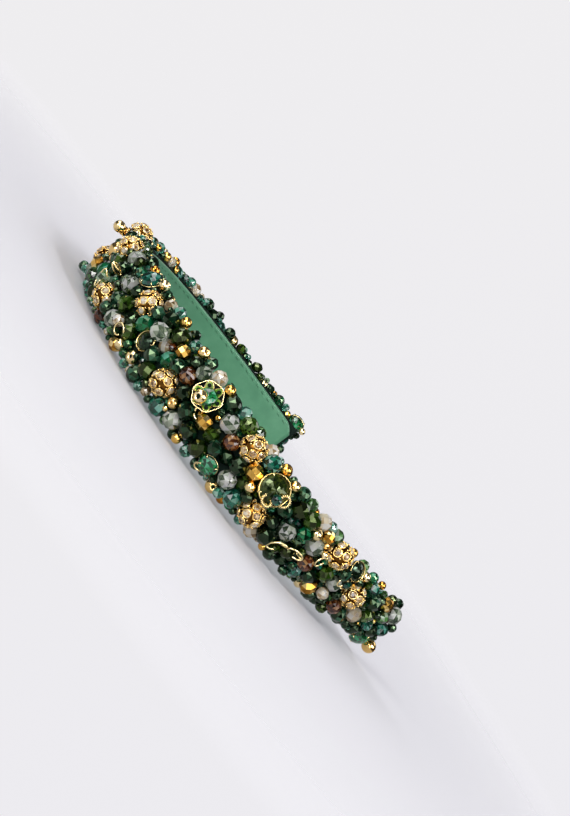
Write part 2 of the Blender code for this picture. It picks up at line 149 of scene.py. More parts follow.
# The beads that the photograph shows: look, diameter in millimetres, and place as shares
BEADS = [Bead(*row) for row in (
    ("dark", 4.5, -0.255, 0.80), ("dark", 4.5, -0.240, 0.60), ("clear", 5.2, -0.195, -0.70),
    ("aqua", 3.5, -0.170, -0.85), ("emerald", 6.4, -0.085, -0.22), ("green", 5.6, -0.050, -0.38),
    ("gold_ball", 2.8, -0.020, -0.72), ("dark", 4.9, -0.090, 0.20), ("dark", 4.9, -0.035, 0.35),
    ("dark", 4.9, -0.030, 1.00), ("amber", 3.5, 0.025, 1.00), ("topaz", 5.9, 0.030, -0.95),
    ("dark", 4.9, 0.045, -0.30), ("dark", 4.9, 0.050, -0.65), ("olive", 6.3, 0.075, -0.15),
    ("gold_ball", 3.8, 0.075, 1.00), ("dark", 4.9, 0.080, 0.30), ("champagne", 2.8, 0.085, -1.00),
    ("champagne", 4.2, 0.105, -0.40), ("dark", 6.3, 0.110, -0.20), ("dark", 3.8, 0.120, 0.85),
    ("gold_cut", 5.2, 0.130, -0.95), ("champagne", 4.5, 0.135, 0.95), ("olive", 6.3, 0.140, -0.40),
    ("emerald", 6.3, 0.155, 0.10), ("dark", 5.6, 0.155, 0.50), ("dark", 7.0, 0.165, 0.85),
    ("aqua", 4.9, 0.165, 1.00), ("aqua", 3.5, 0.190, -0.90), ("amber", 3.8, 0.190, 1.00),
    ("champagne", 2.8, 0.200, -1.00), ("dark", 6.3, 0.205, -0.25), ("champagne", 5.2, 0.220, 0.25),
    ("olive", 7.0, 0.220, 0.80), ("dark", 4.5, 0.220, 1.00), ("dark", 6.3, 0.225, -0.90),
    ("olive", 6.3, 0.235, -0.35), ("aqua", 3.5, 0.240, -1.00), ("emerald", 6.3, 0.240, 0.10),
    ("gold_cut", 5.2, 0.250, 0.55), ("aqua", 4.5, 0.250, 0.90), ("champagne", 3.5, 0.255, -1.00),
    ("gold_ball", 4.2, 0.270, 1.00), ("dark", 5.6, 0.280, -0.05), ("topaz", 5.9, 0.285, 0.25),
    ("dark", 4.5, 0.285, 0.70), ("dark", 4.9, 0.295, 1.00), ("teal", 6.3, 0.300, -0.90),
    ("clear", 5.6, 0.310, 0.60), ("dark", 6.3, 0.315, 0.00), ("gold_ball", 3.8, 0.320, -0.45),
    ("champagne", 5.6, 0.325, 1.00), ("dark", 6.3, 0.340, -0.40), ("dark", 3.8, 0.350, -1.00),
    ("amber", 3.5, 0.370, -1.00), ("dark", 6.6, 0.380, -0.55), ("amber", 3.8, 0.380, 1.00),
    ("gold_cut", 5.9, 0.385, -0.05), ("dark", 6.6, 0.385, 1.00), ("aqua", 4.2, 0.400, -1.00),
    ("olive", 6.3, 0.410, -0.25), ("aqua", 4.9, 0.415, 1.00), ("olive", 6.3, 0.420, -0.65),
    ("dark", 5.6, 0.430, -0.30), ("olive", 6.3, 0.430, 0.85), ("topaz", 5.6, 0.435, 0.25),
    ("green", 4.5, 0.450, 1.00), ("dark", 6.3, 0.460, -0.15), ("dark", 6.3, 0.480, -0.05),
    ("aqua", 3.8, 0.485, -1.00), ("champagne", 5.2, 0.485, 1.00), ("olive", 6.3, 0.500, -0.30),
    ("amber", 3.8, 0.510, -1.00), ("gold_cut", 6.3, 0.510, 0.15), ("teal", 6.3, 0.510, 0.80),
    ("teal", 6.3, 0.515, -0.70), ("gold_ball", 3.8, 0.530, -0.30), ("amber", 4.2, 0.530, 1.00),
    ("dark", 4.9, 0.545, -0.50), ("aqua", 3.8, 0.560, -1.00), ("gold_ball", 3.8, 0.570, 0.95),
    ("dark", 4.9, 0.580, -0.45), ("champagne", 5.2, 0.595, -0.90), ("dark", 6.3, 0.595, 0.45),
    ("dark", 5.2, 0.600, 1.00), ("dark", 7.0, 0.605, -0.55), ("olive", 6.3, 0.615, 0.60),
    ("green", 4.5, 0.625, 0.90), ("emerald", 5.2, 0.635, 0.10), ("olive", 6.3, 0.635, 0.60),
    ("dark", 4.9, 0.650, -1.00), ("olive", 4.9, 0.655, -0.40), ("dark", 6.3, 0.655, 0.10),
    ("gold_ball", 3.8, 0.660, 0.60), ("champagne", 5.9, 0.665, 1.00), ("dark", 4.9, 0.675, -0.95),
    ("gold_cut", 4.5, 0.685, 0.80), ("dark", 3.8, 0.695, -1.00), ("aqua", 4.5, 0.695, 1.00),
    ("topaz", 5.6, 0.700, -0.30), ("teal", 5.9, 0.705, -0.85), ("dark", 5.6, 0.730, -0.50),
    ("green", 5.2, 0.730, 1.00), ("olive", 6.3, 0.740, -0.10), ("gold_cut", 5.9, 0.750, -0.75),
    ("amber", 3.1, 0.760, 1.00), ("champagne", 4.2, 0.785, -0.60), ("clear", 5.9, 0.785, 0.00),
    ("dark", 4.9, 0.785, 0.40), ("green", 4.5, 0.800, 1.00), ("dark", 3.8, 0.805, -0.25),
    ("olive", 4.5, 0.835, -1.00), ("topaz", 5.2, 0.835, -0.60), ("emerald", 3.8, 0.860, 1.00),
    ("teal", 5.9, 0.885, 0.90), ("amber", 2.8, 0.885, 1.00), ("dark", 3.8, 0.890, -0.85),
    ("champagne", 5.9, 0.890, -0.35), ("dark", 5.9, 0.895, 0.50), ("olive", 5.9, 0.915, 0.00),
    ("gold_cut", 5.2, 0.940, 0.80), ("olive", 3.8, 0.960, 1.00), ("dark", 4.9, 0.975, -0.45),
    ("teal", 5.6, 1.000, 0.00), ("dark", 3.8, 1.000, 1.00), ("dark", 3.5, 1.020, 0.30),
)]


def half_outline():
    """Points and distances along the inside of the left half, from the crown to the tip."""
    points = []
    for step in range(OUTLINE_STEPS + 1):
        turn = math.pi / 2 * step / OUTLINE_STEPS
        points.append(Vector((HALF_WIDTH * math.sin(turn), CROWN_RISE * (1 - math.cos(turn)))))
    for step in range(1, OUTLINE_STEPS + 1):
        down = step / OUTLINE_STEPS
        inward = (HALF_WIDTH - TIP_HALF_GAP) * down**2
        points.append(Vector((HALF_WIDTH - inward, CROWN_RISE + LEG_LENGTH * down)))
    distances = [0.0]
    for first, second in zip(points, points[1:]):
        distances.append(distances[-1] + (second - first).length)
    return points, distances


OUTLINE, DISTANCES = half_outline()
HALF_ARC = DISTANCES[-1]


def station(distance):
    """The point on the strip's inside at a distance from the crown, and the outward direction there."""
    reach = abs(distance)
    span = int(np.searchsorted(DISTANCES, reach)) - 1
    span = min(max(span, 0), len(OUTLINE) - 2)
    first, second = OUTLINE[span], OUTLINE[span + 1]
    along = (second - first).normalized()
    point = first + along * (reach - DISTANCES[span])
    before = OUTLINE[max(span - 1, 0)]
    after = OUTLINE[min(span + 2, len(OUTLINE) - 1)]
    tangent = (after - before).normalized()
    side = 1 if distance >= 0 else -1
    outward = Vector((tangent.y * side, -tangent.x))
    return Vector((point.x * side, point.y)), outward


def lifted(distance, height, level):
    """The place at a distance from the crown, a height off the strip's inside and a level across it."""
    point, outward = station(distance)
    return Vector((*(point + outward * height), level))


def strip_width(distance):
    """The strip's width at a distance from the crown, or at each of an array of them."""
    share = np.minimum(np.abs(distance) / HALF_ARC, 1.0)
    return STRIP_CROWN_WIDTH + (STRIP_TIP_WIDTH - STRIP_CROWN_WIDTH) * share**TAPER_POWER


def bed_half_width(distance):
    return strip_width(distance) / 2 + BED_OVERHANG


def bed_top(distance, level):
    """Height of the bed's surface at a level across the band, or at each of an array of them."""
    share = np.minimum(np.abs(level) / bed_half_width(distance), 1.0)
    dome = (1 - share**2) ** (DOME_POWER / 2)
    return BED_BASE + BED_RIM + (BED_RISE - BED_RIM) * dome


def over_strip(distance, level, radius):
    """Lowest height at which a ball clears the strip."""
    beyond = max(abs(level) - strip_width(distance) / 2, 0.0)
    need = radius + CLEARANCE
    if beyond >= need:
        return 0.0
    return STRIP_THICKNESS + math.sqrt(need**2 - beyond**2)


def raised_clear(centre, outward, radius, placed, gap):
    """How far a ball has to rise along outward until it clears each placed ball by the gap."""
    rise = 0.0
    moved = True
    while moved:
        moved = False
        for other in placed:
            away = centre + outward * rise - other.centre
            need = radius + other.radius + gap
            if away.length < need - 1e-7:
                along = away.dot(outward)
                rise += math.sqrt(along**2 + need**2 - away.length_squared) - along
                moved = True
    return rise


def edge_level(distance, across):
    return across * (strip_width(distance) / 2 + BEAD_REACH)


def placed_stones():
    """The main stones where the solids have them."""
    rows = list(STONES)
    for row in STONES:
        if row.along > TURNED_FROM and row.kind in TURNED_KINDS:
            rows.append(Stone(row.kind, -row.along, -row.across))
    placed = []
    for row in rows:
        kind = KINDS[row.kind]
        radius = kind.diameter / 2
        distance = row.along * HALF_ARC
        level = edge_level(distance, row.across)
        rest = bed_top(distance, level) + radius - kind.seat
        height = max(rest, over_strip(distance, level, radius))
        outward = Vector((*station(distance)[1], 0.0))
        centre = lifted(distance, height, level)
        centre += outward * raised_clear(centre, outward, radius, placed, CLEARANCE)
        facing = outward
        if kind.shape != "ball":
            facing = (outward + Vector((0.0, 0.0, LEAN * row.across))).normalized()
        placed.append(Placed(centre, radius, facing, row.kind, distance))
    return placed


def strip_offset():
    """From the band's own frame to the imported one, read from the strip."""
    low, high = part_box("strip")
    crown = lifted(HALF_ARC / STRIP_SEGMENTS, STRIP_THICKNESS, 0.0)
    return Vector((0.0, low.y - crown.y, (low.z + high.z) / 2))


OFFSET = strip_offset()
FLOOR = -OFFSET.z
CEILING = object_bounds()[1].z - OFFSET.z
REPEATED_FROM = 0.28


def both_halves(rows):
    """The charted rows, and those away from the crown once more, turned end for end."""
    return [(row, 1) for row in rows] + [(row, -1) for row in rows if row.along > REPEATED_FROM]


# Materials

WHITE = (1.0, 1.0, 1.0)


SMUDGE_WAVES = 900
SURFACE_WAVES = 1400
BRUSHED_WAVES = 1100
DENT_WAVES = 2200
DENT_DEPTH = 0.05 * MM
GLASS_BUMP = 0.05
DYE_WAVES = 160
WARP_WAVES = 900
SHEEN_WAVES = 500
WARP_DEPTH = 0.08 * MM
THREAD_WAVES = 700
FIBRE_WAVES = 2600
FIBRE_DEPTH = 0.25 * MM


def new_material(name):
    material = bpy.data.materials.new(name)
    material.use_nodes = True
    tree = material.node_tree
    return material, tree, tree.nodes["Principled BSDF"]


def noise(tree, scale, detail=2.0):
    """Noise in the piece's own space, scale in waves per metre."""
    place = tree.nodes.new("ShaderNodeTexCoord")
    texture = tree.nodes.new("ShaderNodeTexNoise")
    texture.inputs["Scale"].default_value = scale
    texture.inputs["Detail"].default_value = detail
    tree.links.new(place.outputs["Object"], texture.inputs["Vector"])
    return texture.outputs["Fac"]


def ranged(tree, value, low, high, start=0.3, stop=0.7):
    """The value moved from the range start to stop onto the range low to high."""
    node = tree.nodes.new("ShaderNodeMapRange")
    for socket, number in (("From Min", start), ("From Max", stop), ("To Min", low), ("To Max", high)):
        node.inputs[socket].default_value = number
    tree.links.new(value, node.inputs["Value"])
    return node.outputs["Result"]


def worked(tree, kind, operation, *values):
    """A maths node, each input linked where a socket is given and set where a number is."""
    node = tree.nodes.new(kind)
    node.operation = operation
    for socket, value in zip(node.inputs, values):
        if isinstance(value, bpy.types.NodeSocket):
            tree.links.new(value, socket)
        else:
            socket.default_value = value
    return node.outputs["Value"]


def ramp(tree, value, colours):
    """Colours spread evenly over the value."""
    node = tree.nodes.new("ShaderNodeValToRGB")
    band = node.color_ramp
    while len(band.elements) < len(colours):
        band.elements.new(0.5)
    for index, colour in enumerate(colours):
        band.elements[index].position = index / (len(colours) - 1)
        band.elements[index].color = (*colour, 1.0)
    tree.links.new(value, node.inputs["Fac"])
    return node.outputs["Color"]


def bead_tone_and_light(tree):
    """The number from 0 to 1 that each facet carries: its place on its material's ramp, from a painted shade
    to a painted glint.
    """
    node = tree.nodes.new("ShaderNodeAttribute")
    node.attribute_name = "tint"
    return node.outputs["Fac"]


def bumped(tree, shader, value, strength, depth):
    bump = tree.nodes.new("ShaderNodeBump")
    bump.inputs["Strength"].default_value = strength
    bump.inputs["Distance"].default_value = depth
    tree.links.new(value, bump.inputs["Height"])
    tree.links.new(bump.outputs["Normal"], shader.inputs["Normal"])


def glass(name, colours, through, smooth, rough, index=1.52, gleam=WHITE):
    """Cut glass: each facet painted a shade or a glint from the ramp, see-through by the share given,
    faintly smudged.
    """
    material, tree, shader = new_material(name)
    tree.links.new(ramp(tree, bead_tone_and_light(tree), colours), shader.inputs["Base Color"])
    tree.links.new(ranged(tree, noise(tree, SMUDGE_WAVES), smooth, rough), shader.inputs["Roughness"])
    shader.inputs["Transmission Weight"].default_value = through
    shader.inputs["IOR"].default_value = index
    shader.inputs["Specular IOR Level"].default_value = 0.55
    shader.inputs["Specular Tint"].default_value = (*gleam, 1.0)
    bumped(tree, shader, noise(tree, SURFACE_WAVES), GLASS_BUMP, DENT_DEPTH)
    return material


def metal(name, colours, smooth, rough, bump=0.12):
    """Plated brass: each piece, or each facet of a cut one, painted a shade or a highlight from the ramp,
    brushed and faintly dented.
    """
    material, tree, shader = new_material(name)
    tree.links.new(ramp(tree, bead_tone_and_light(tree), colours), shader.inputs["Base Color"])
    tree.links.new(ranged(tree, noise(tree, BRUSHED_WAVES, 4.0), smooth, rough), shader.inputs["Roughness"])
    shader.inputs["Metallic"].default_value = 1.0
    bumped(tree, shader, noise(tree, DENT_WAVES, 3.0), bump, DENT_DEPTH)
    return material


def ribbon_satin():
    """Pale green satin: fine warp threads across the band, a soft sheen and uneven dye."""
    material, tree, shader = new_material("ribbon_satin")
    tree.links.new(ramp(tree, noise(tree, DYE_WAVES, 4.0), SATIN_TONES), shader.inputs["Base Color"])
    place = tree.nodes.new("ShaderNodeTexCoord")
    wave = tree.nodes.new("ShaderNodeTexWave")
    wave.bands_direction = "Z"
    wave.inputs["Scale"].default_value = WARP_WAVES
    wave.inputs["Distortion"].default_value = 1.5
    wave.inputs["Detail"].default_value = 2.0
    tree.links.new(place.outputs["Object"], wave.inputs["Vector"])
    tree.links.new(ranged(tree, noise(tree, SHEEN_WAVES), 0.30, 0.46), shader.inputs["Roughness"])
    shader.inputs["Sheen Weight"].default_value = 0.35
    shader.inputs["Sheen Roughness"].default_value = 0.4
    shader.inputs["Anisotropic"].default_value = 0.5
    bumped(tree, shader, wave.outputs["Fac"], 0.25, WARP_DEPTH)
    return material


def thread(name, colours, sheen=0.2):
    material, tree, shader = new_material(name)
    tree.links.new(ramp(tree, noise(tree, THREAD_WAVES, 5.0), colours), shader.inputs["Base Color"])
    shader.inputs["Roughness"].default_value = 0.75
    shader.inputs["Specular IOR Level"].default_value = 0.12
    shader.inputs["Sheen Weight"].default_value = sheen
    bumped(tree, shader, noise(tree, FIBRE_WAVES, 4.0), 0.6, FIBRE_DEPTH)
    return material


# Painted light on cut glass and gold: each glass and gold ramp below runs from a facet in painted shade to a
# painted glint, and each facet or piece is given a place on it.
SHADE_SHARES = (0.02, 0.09, 0.32, 1.0)


def tones(red, green, blue, glint):
    """Shades of one glass, from a facet in shade to one that throws the light back."""
    shades = [(red * share, green * share, blue * share) for share in SHADE_SHARES]
    return shades + [(red ** (1 - glint), green ** (1 - glint), blue ** (1 - glint))]


DARK_TONES = tones(0.004, 0.031, 0.013, 0.42)
OLIVE_TONES = tones(0.026, 0.085, 0.003, 0.45)
EMERALD_TONES = tones(0.005, 0.24, 0.085, 0.68)
RIVOLI_TONES = [
    (0.001, 0.003, 0.001), (0.005, 0.012, 0.002), (0.012, 0.026, 0.003),
    (0.05, 0.065, 0.008), (0.30, 0.28, 0.07),
]
GREEN_GLEAM = (0.58, 0.85, 0.48)
OLIVE_GLEAM = (0.75, 0.90, 0.42)
PALE_TONES = [(0.02, 0.05, 0.02), (0.14, 0.20, 0.12), (0.62, 0.70, 0.54), (0.98, 1.0, 0.93), WHITE]
WINE_TONES = [
    (0.05, 0.025, 0.006), (0.26, 0.16, 0.06), (0.70, 0.53, 0.30), (0.97, 0.88, 0.68), (1.0, 1.0, 0.98),
]
SET_TONES = [
    (0.10, 0.045, 0.01), (0.44, 0.23, 0.06), (0.84, 0.57, 0.26), (0.97, 0.84, 0.56), (1.0, 0.99, 0.93),
]
OLD_GOLD = [
    (0.18, 0.075, 0.01), (0.48, 0.24, 0.035), (0.76, 0.46, 0.10), (0.93, 0.68, 0.24), (1.0, 0.90, 0.55),
]
AMBER_GOLD = [(0.42, 0.18, 0.025), (0.66, 0.34, 0.06), (0.84, 0.52, 0.13)]
PALE_GOLD = [(0.80, 0.52, 0.18), (0.90, 0.66, 0.28), (0.97, 0.80, 0.45)]
LATTICE_TONES = [(0.13, 0.055, 0.008), (0.80, 0.48, 0.11), (0.97, 0.78, 0.36)]
RIM_TONES = [(0.72, 0.46, 0.12), (0.88, 0.64, 0.24), (0.98, 0.82, 0.44)]
LIME_TONES = [(0.12, 0.40, 0.02), (0.34, 0.66, 0.06), (0.66, 0.86, 0.24)]
# Thread coloured near black: dark thread, and painted shade where it shows between the beads and in holes.
DARK_THREAD_SHADE_TONES = [(0.001, 0.004, 0.003), (0.002, 0.009, 0.006), (0.003, 0.016, 0.010)]
SATIN_TONES = [(0.055, 0.21, 0.11), (0.085, 0.28, 0.15), (0.13, 0.35, 0.20)]
LOOKS = {
    "dark": glass("dark_glass", DARK_TONES, 0.15, 0.01, 0.05, 1.56, GREEN_GLEAM),
    "olive": glass("olive_glass", OLIVE_TONES, 0.45, 0.0, 0.05, 1.56, OLIVE_GLEAM),
    "emerald": glass("emerald_glass", EMERALD_TONES, 0.45, 0.0, 0.05, 1.60, GREEN_GLEAM),
    "teal": glass("teal_glass", tones(0.012, 0.32, 0.19, 0.78), 0.45, 0.0, 0.05, 1.60),
    "aqua": glass("aqua_glass", tones(0.12, 0.60, 0.39, 0.85), 0.50, 0.0, 0.05, 1.60),
    "green": glass("green_glass", tones(0.17, 0.46, 0.12, 0.75), 0.50, 0.0, 0.05, 1.60),
    "topaz": glass("topaz_glass", tones(0.25, 0.055, 0.005, 0.60), 0.45, 0.0, 0.05, 1.60),
    "champagne": glass("champagne_glass", WINE_TONES, 0.45, 0.0, 0.04, 1.60),
    "clear": glass("clear_glass", PALE_TONES, 0.58, 0.0, 0.02, 1.45),
    "amber": metal("amber_gold", AMBER_GOLD, 0.10, 0.22),
    "gold_cut": metal("cut_gold", OLD_GOLD, 0.10, 0.20, 0.04),
    "gold_ball": metal("pale_gold", PALE_GOLD, 0.08, 0.16),
}
LATTICE_GOLD = metal("lattice_gold", LATTICE_TONES, 0.14, 0.28)
RIM_GOLD = metal("rim_gold", RIM_TONES, 0.12, 0.26)
SET_CRYSTAL = glass("set_crystal", SET_TONES, 0.25, 0.0, 0.05, 1.70)
CROWN_GLASS = {
    "dark_cup": glass("crown_dark", tones(0.02, 0.05, 0.02, 0.5), 0.15, 0.0, 0.03, 1.65, (0.30, 0.45, 0.32)),
    "rivoli": glass("crown_olive", RIVOLI_TONES, 0.10, 0.0, 0.03, 1.55, (0.70, 0.85, 0.45)),
}
FOIL = {
    "dark_cup": metal("foil_dark", DARK_TONES, 0.08, 0.20, 0.05),
    "rivoli": metal("foil_olive", RIVOLI_TONES, 0.08, 0.20, 0.05),
}
CUT_TEAL = glass("cut_teal", tones(0.007, 0.20, 0.13, 0.66), 0.45, 0.0, 0.03, 1.65)
CUT_EMERALD = glass("cut_emerald", tones(0.010, 0.36, 0.10, 0.62), 0.40, 0.0, 0.04, 1.65)
PETAL_GLASS = glass("petal_glass", LIME_TONES, 0.20, 0.03, 0.12)
DARK_THREAD_SHADE = thread("dark_thread_shade", DARK_THREAD_SHADE_TONES, 0.04)
GREEN_THREAD = thread("green_thread", [(0.03, 0.12, 0.06), (0.05, 0.17, 0.09), (0.08, 0.22, 0.12)])
RIBBON_SATIN = ribbon_satin()
SLOTS = {
    "amber": "gold",
    "gold_cut": "gold",
    "gold_ball": "pale_gold",
    "clear": "clear_glass",
    "champagne": "clear_glass",
    "emerald": "emerald_glass",
    "teal": "teal_glass",
    "aqua": "teal_glass",
}


# Shapes: each is a list of points, a list of faces and whether the faces are shaded smooth

def polar(reach, turn, height):
    """A point at a reach from the Z axis and a height, turned about that axis."""
    return reach * math.cos(turn), reach * math.sin(turn), height


def turned(profile, sides, smooth=False, close=True, twists=None):
    """A shape turned about Z. profile: rows of radius and height; twists: half steps a ring is turned by."""
    points = []
    twists = twists or [0] * len(profile)
    for (reach, height), twist in zip(profile, twists):
        for side in range(sides):
            points.append(polar(reach, math.tau * (side + twist / 2) / sides, height))
    faces = []
    for ring in range(len(profile) - 1):
        low, high = ring * sides, (ring + 1) * sides
        lead = twists[ring + 1] - twists[ring]
        for side in range(sides):
            after = (side + 1) % sides
            if lead == 0:
                faces.append((low + side, low + after, high + after, high + side))
            elif lead > 0:
                faces.append((low + side, low + after, high + side))
                faces.append((low + after, high + after, high + side))
            else:
                faces.append((low + side, low + after, high + after))
                faces.append((low + side, high + after, high + side))
    if close:
        faces.append(tuple(reversed(range(sides))))
        faces.append(tuple(range((len(profile) - 1) * sides, len(profile) * sides)))
    return points, faces, smooth


def drilled(profile, sides, twists=None, smooth=False):
    """A turned bead with a hole down its axis: the last ring is joined to the first one inside."""
    points, faces, _ = turned(profile, sides, smooth, False, twists)
    last = (len(profile) - 1) * sides
    for side in range(sides):
        after = (side + 1) % sides
        faces.append((last + side, last + after, after, side))
    return points, faces, smooth


def cut_bead(rows, sides):
    """A drilled, faceted bead: rows of radius, height and twist for its upper half, and the same below."""
    full = [(reach, -height, twist) for reach, height, twist in rows]
    full += [row for row in reversed(rows) if row[1] > 0]
    return drilled([row[:2] for row in full], sides, [row[2] for row in full])


ROUND_CUT = cut_bead([(0.13, 0.93, 0), (0.64, 0.76, 0), (0.96, 0.27, 1)], 9)
FLAT_CUT = cut_bead([(0.13, 0.78, 0), (0.68, 0.66, 0), (0.99, 0.13, 1)], 10)
CRYSTAL_CUT = cut_bead([(0.12, 0.96, 0), (0.52, 0.84, 1), (0.87, 0.48, 0), (1.0, 0.0, 1)], 8)
FINE_CUT = cut_bead([(0.12, 0.95, 0), (0.55, 0.81, 1), (0.86, 0.50, 0), (0.99, 0.14, 1)], 10)


def smooth_ball(sides=18, rings=9, hole=0.26):
    """A polished ball with a drilled hole."""
    first = math.asin(hole)
    profile = []
    for ring in range(rings):
        turn = first + (math.pi - 2 * first) * ring / (rings - 1)
        profile.append((math.sin(turn), -math.cos(turn)))
    return drilled(profile, sides, smooth=True)


SMOOTH_BALL = smooth_ball()
WIDE_DRILLED = smooth_ball(20, 9, 0.38)
CORE_BALL = turned(
    [(0.05, -1.0), (0.5, -0.87), (0.87, -0.5), (1, 0), (0.87, 0.5), (0.5, 0.87), (0.05, 1.0)], 14, True
)
SHOT = turned([(0.3, -0.95), (0.87, -0.5), (1, 0), (0.87, 0.5), (0.3, 0.95)], 8, True)


def skinned(sections, closed=False):
    """A smooth skin over a row of closed sections, which are joined end to end or else capped."""
    width, count = len(sections[0]), len(sections)
    points = [tuple(spot) for section in sections for spot in section]
    faces = []
    for index in range(count if closed else count - 1):
        near, far = index * width, ((index + 1) % count) * width
        for step in range(width):
            after = (step + 1) % width
            faces.append((near + step, near + after, far + after, far + step))
    if not closed:
        faces.append(tuple(reversed(range(width))))
        faces.append(tuple(range((count - 1) * width, count * width)))
    return points, faces, True


def ring_shape(major, minor, sides, round_sides):
    sections = []
    for side in range(sides):
        turn = math.tau * side / sides
        section = []
        for step in range(round_sides):
            lean = -math.tau * step / round_sides
            section.append(polar(major + minor * math.cos(lean), turn, minor * math.sin(lean)))
        sections.append(section)
    return skinned(sections, closed=True)


def round_ways(first, second, sides):
    """Ways spread evenly round a circle whose quarter turns point along first and second."""
    turns = [math.tau * side / sides for side in range(sides)]
    return [first * math.cos(turn) + second * math.sin(turn) for turn in turns]


def tube_shape(route, radius, sides=6, closed=False):
    """A wire along a row of points, its ends capped."""
    count = len(route)
    sections = []
    normal = None
    for index, spot in enumerate(route):
        before = route[index - 1] if closed or index else route[0]
        after = route[(index + 1) % count] if closed or index < count - 1 else route[-1]
        along = (after - before).normalized()
        normal = normal or along.orthogonal()
        normal = (normal - along * normal.dot(along)).normalized()
        sections.append([spot + way * radius for way in round_ways(normal, along.cross(normal), sides)])
    return skinned(sections, closed)


COIL_STEPS = 8
COIL_LOOK = 60


def coiled(route, radius, wire, turns_per_metre):
    """A fine coil wound about a route: bullion wire."""
    lengths = [0.0]
    for first, second in zip(route, route[1:]):
        lengths.append(lengths[-1] + (second - first).length)
    whole = lengths[-1]
    flat = np.array([tuple(spot) for spot in route]).T

    def at(reach):
        return Vector([np.interp(reach, lengths, row) for row in flat])

    steps = int(whole * turns_per_metre * COIL_STEPS)
    points = []
    normal = None
    for step in range(steps + 1):
        reach = whole * step / steps
        ahead = at(min(reach + whole / COIL_LOOK, whole))
        behind = at(max(reach - whole / COIL_LOOK, 0))
        along = (ahead - behind).normalized()
        normal = normal or along.orthogonal()
        normal = (normal - along * normal.dot(along)).normalized()
        turn = math.tau * step / COIL_STEPS
        points.append(at(reach) + (normal * math.cos(turn) + along.cross(normal) * math.sin(turn)) * radius)
    return tube_shape(points, wire, 4)


# Each cut facet is painted a random step about its shape's level on the ramp: painted shade and painted
# glints scattered over the facets.
FACET_BASE = 0.20
FACET_SHARE = 0.5
FACET_SPREAD = 0.85
FACET_TONES = np.random.default_rng(5)


class Soup:
    """Many small shapes gathered into one mesh, each shape with a level on its material's ramp of painted
    shade and glint, and each cut facet with its own painted shade or glint.
    """

    def __init__(self):
        self.points = []
        self.faces = []
        self.smooth = []
        self.tints = []
        self.count = 0

    def add(self, shape, place=None, tint=0.5, spread=FACET_SPREAD):
        points, faces, smooth = shape
        array = np.array(points, float)
        if place is not None:
            matrix = np.array(place)
            array = array @ matrix[:3, :3].T + matrix[:3, 3]
        self.points.append(array)
        self.faces += [tuple(corner + self.count for corner in face) for face in faces]
        self.smooth += [smooth] * len(faces)
        tones = np.full(len(faces), float(tint))
        if not smooth:
            tones = FACET_BASE + FACET_SHARE * tones + spread * (FACET_TONES.random(len(faces)) - 0.5)
        self.tints += np.clip(tones, 0, 1).tolist()
        self.count += len(array)

    def build(self, name, material, slot, nodes):
        """One object of all the shapes, riding on the band and standing for the nodes."""
        mesh = bpy.data.meshes.new(name)
        array = np.concatenate(self.points) + np.array(OFFSET)
        mesh.from_pydata(array.tolist(), [], self.faces)
        mesh.polygons.foreach_set("use_smooth", self.smooth)
        mesh.attributes.new("tint", "FLOAT", "FACE").data.foreach_set("value", self.tints)
        mesh.materials.append(material)
        mesh.update()
        piece = bpy.data.objects.new(name, mesh)
        bpy.context.scene.collection.objects.link(piece)
        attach(piece, "root")
        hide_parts(*nodes)


def stand(centre, facing, size=1.0, spin=0.0):
    """The placing of a unit shape with its top facing the way given."""
    turn = facing.to_track_quat("Z", "Y").to_matrix().to_4x4()
    return Matrix.Translation(centre) @ turn @ Matrix.Rotation(spin, 4, "Z") @ Matrix.Scale(size, 4)


# The camera and the room

PAPER_SLOPE = (-0.42, -0.68, 0.60)
PAPER_LOW = (0.84, 0.83, 0.87)
PAPER_HIGH = (0.86, 0.85, 0.865)
# What polished faces mirror: the way to each bright patch, where it starts and is full, and its strength
STUDIO_WINDOWS = [
    ((0.0, -0.35, 1.0), -0.9, 1.0, 0.12),
    ((0.25, -0.95, 0.10), 0.975, 0.99, 6.0),
    ((0.90, -0.40, 0.35), 0.975, 0.99, 6.0),
    ((0.55, 0.55, 0.62), 0.97, 0.99, 6.0),
    ((0.42, -0.80, 0.43), 0.95, 0.98, 7.0),
    ((0.75, 0.20, 0.62), 0.955, 0.985, 6.0),
    ((-0.20, -0.70, 0.70), 0.955, 0.985, 5.0),
    ((0.98, -0.10, 0.06), 0.955, 0.985, 2.2),
    ((0.55, -0.80, -0.25), 0.95, 0.98, 1.6),
]
AMBIENT = 0.45
# Each light: its name, place, aim, sides, watts and colour
LIGHTS = [
    ("key", (0.56, -1.07, 0.57), (0.04, 0, 0), (0.50, 0.50), 7.0, (1.0, 0.98, 0.93)),
    ("top", (0.75, 0.10, 0.78), (0.04, 0, 0), (0.16, 0.30), 3.2, WHITE),
    ("back", (-0.35, 0.75, 0.85), (0.0, 0, 0), (0.60, 0.50), 1.8, (0.95, 0.97, 1.0)),
    ("side", (-0.85, -0.55, 0.75), (0.0, 0, 0), (0.60, 0.50), 3.4, WHITE),
]
FLOOR_REACH = 0.55
FLOOR_FADE = (0.08, 0.33)
FLOOR_SIDES = 64
FLOOR_TONES = [(0.74, 0.735, 0.785), (0.76, 0.755, 0.805)]


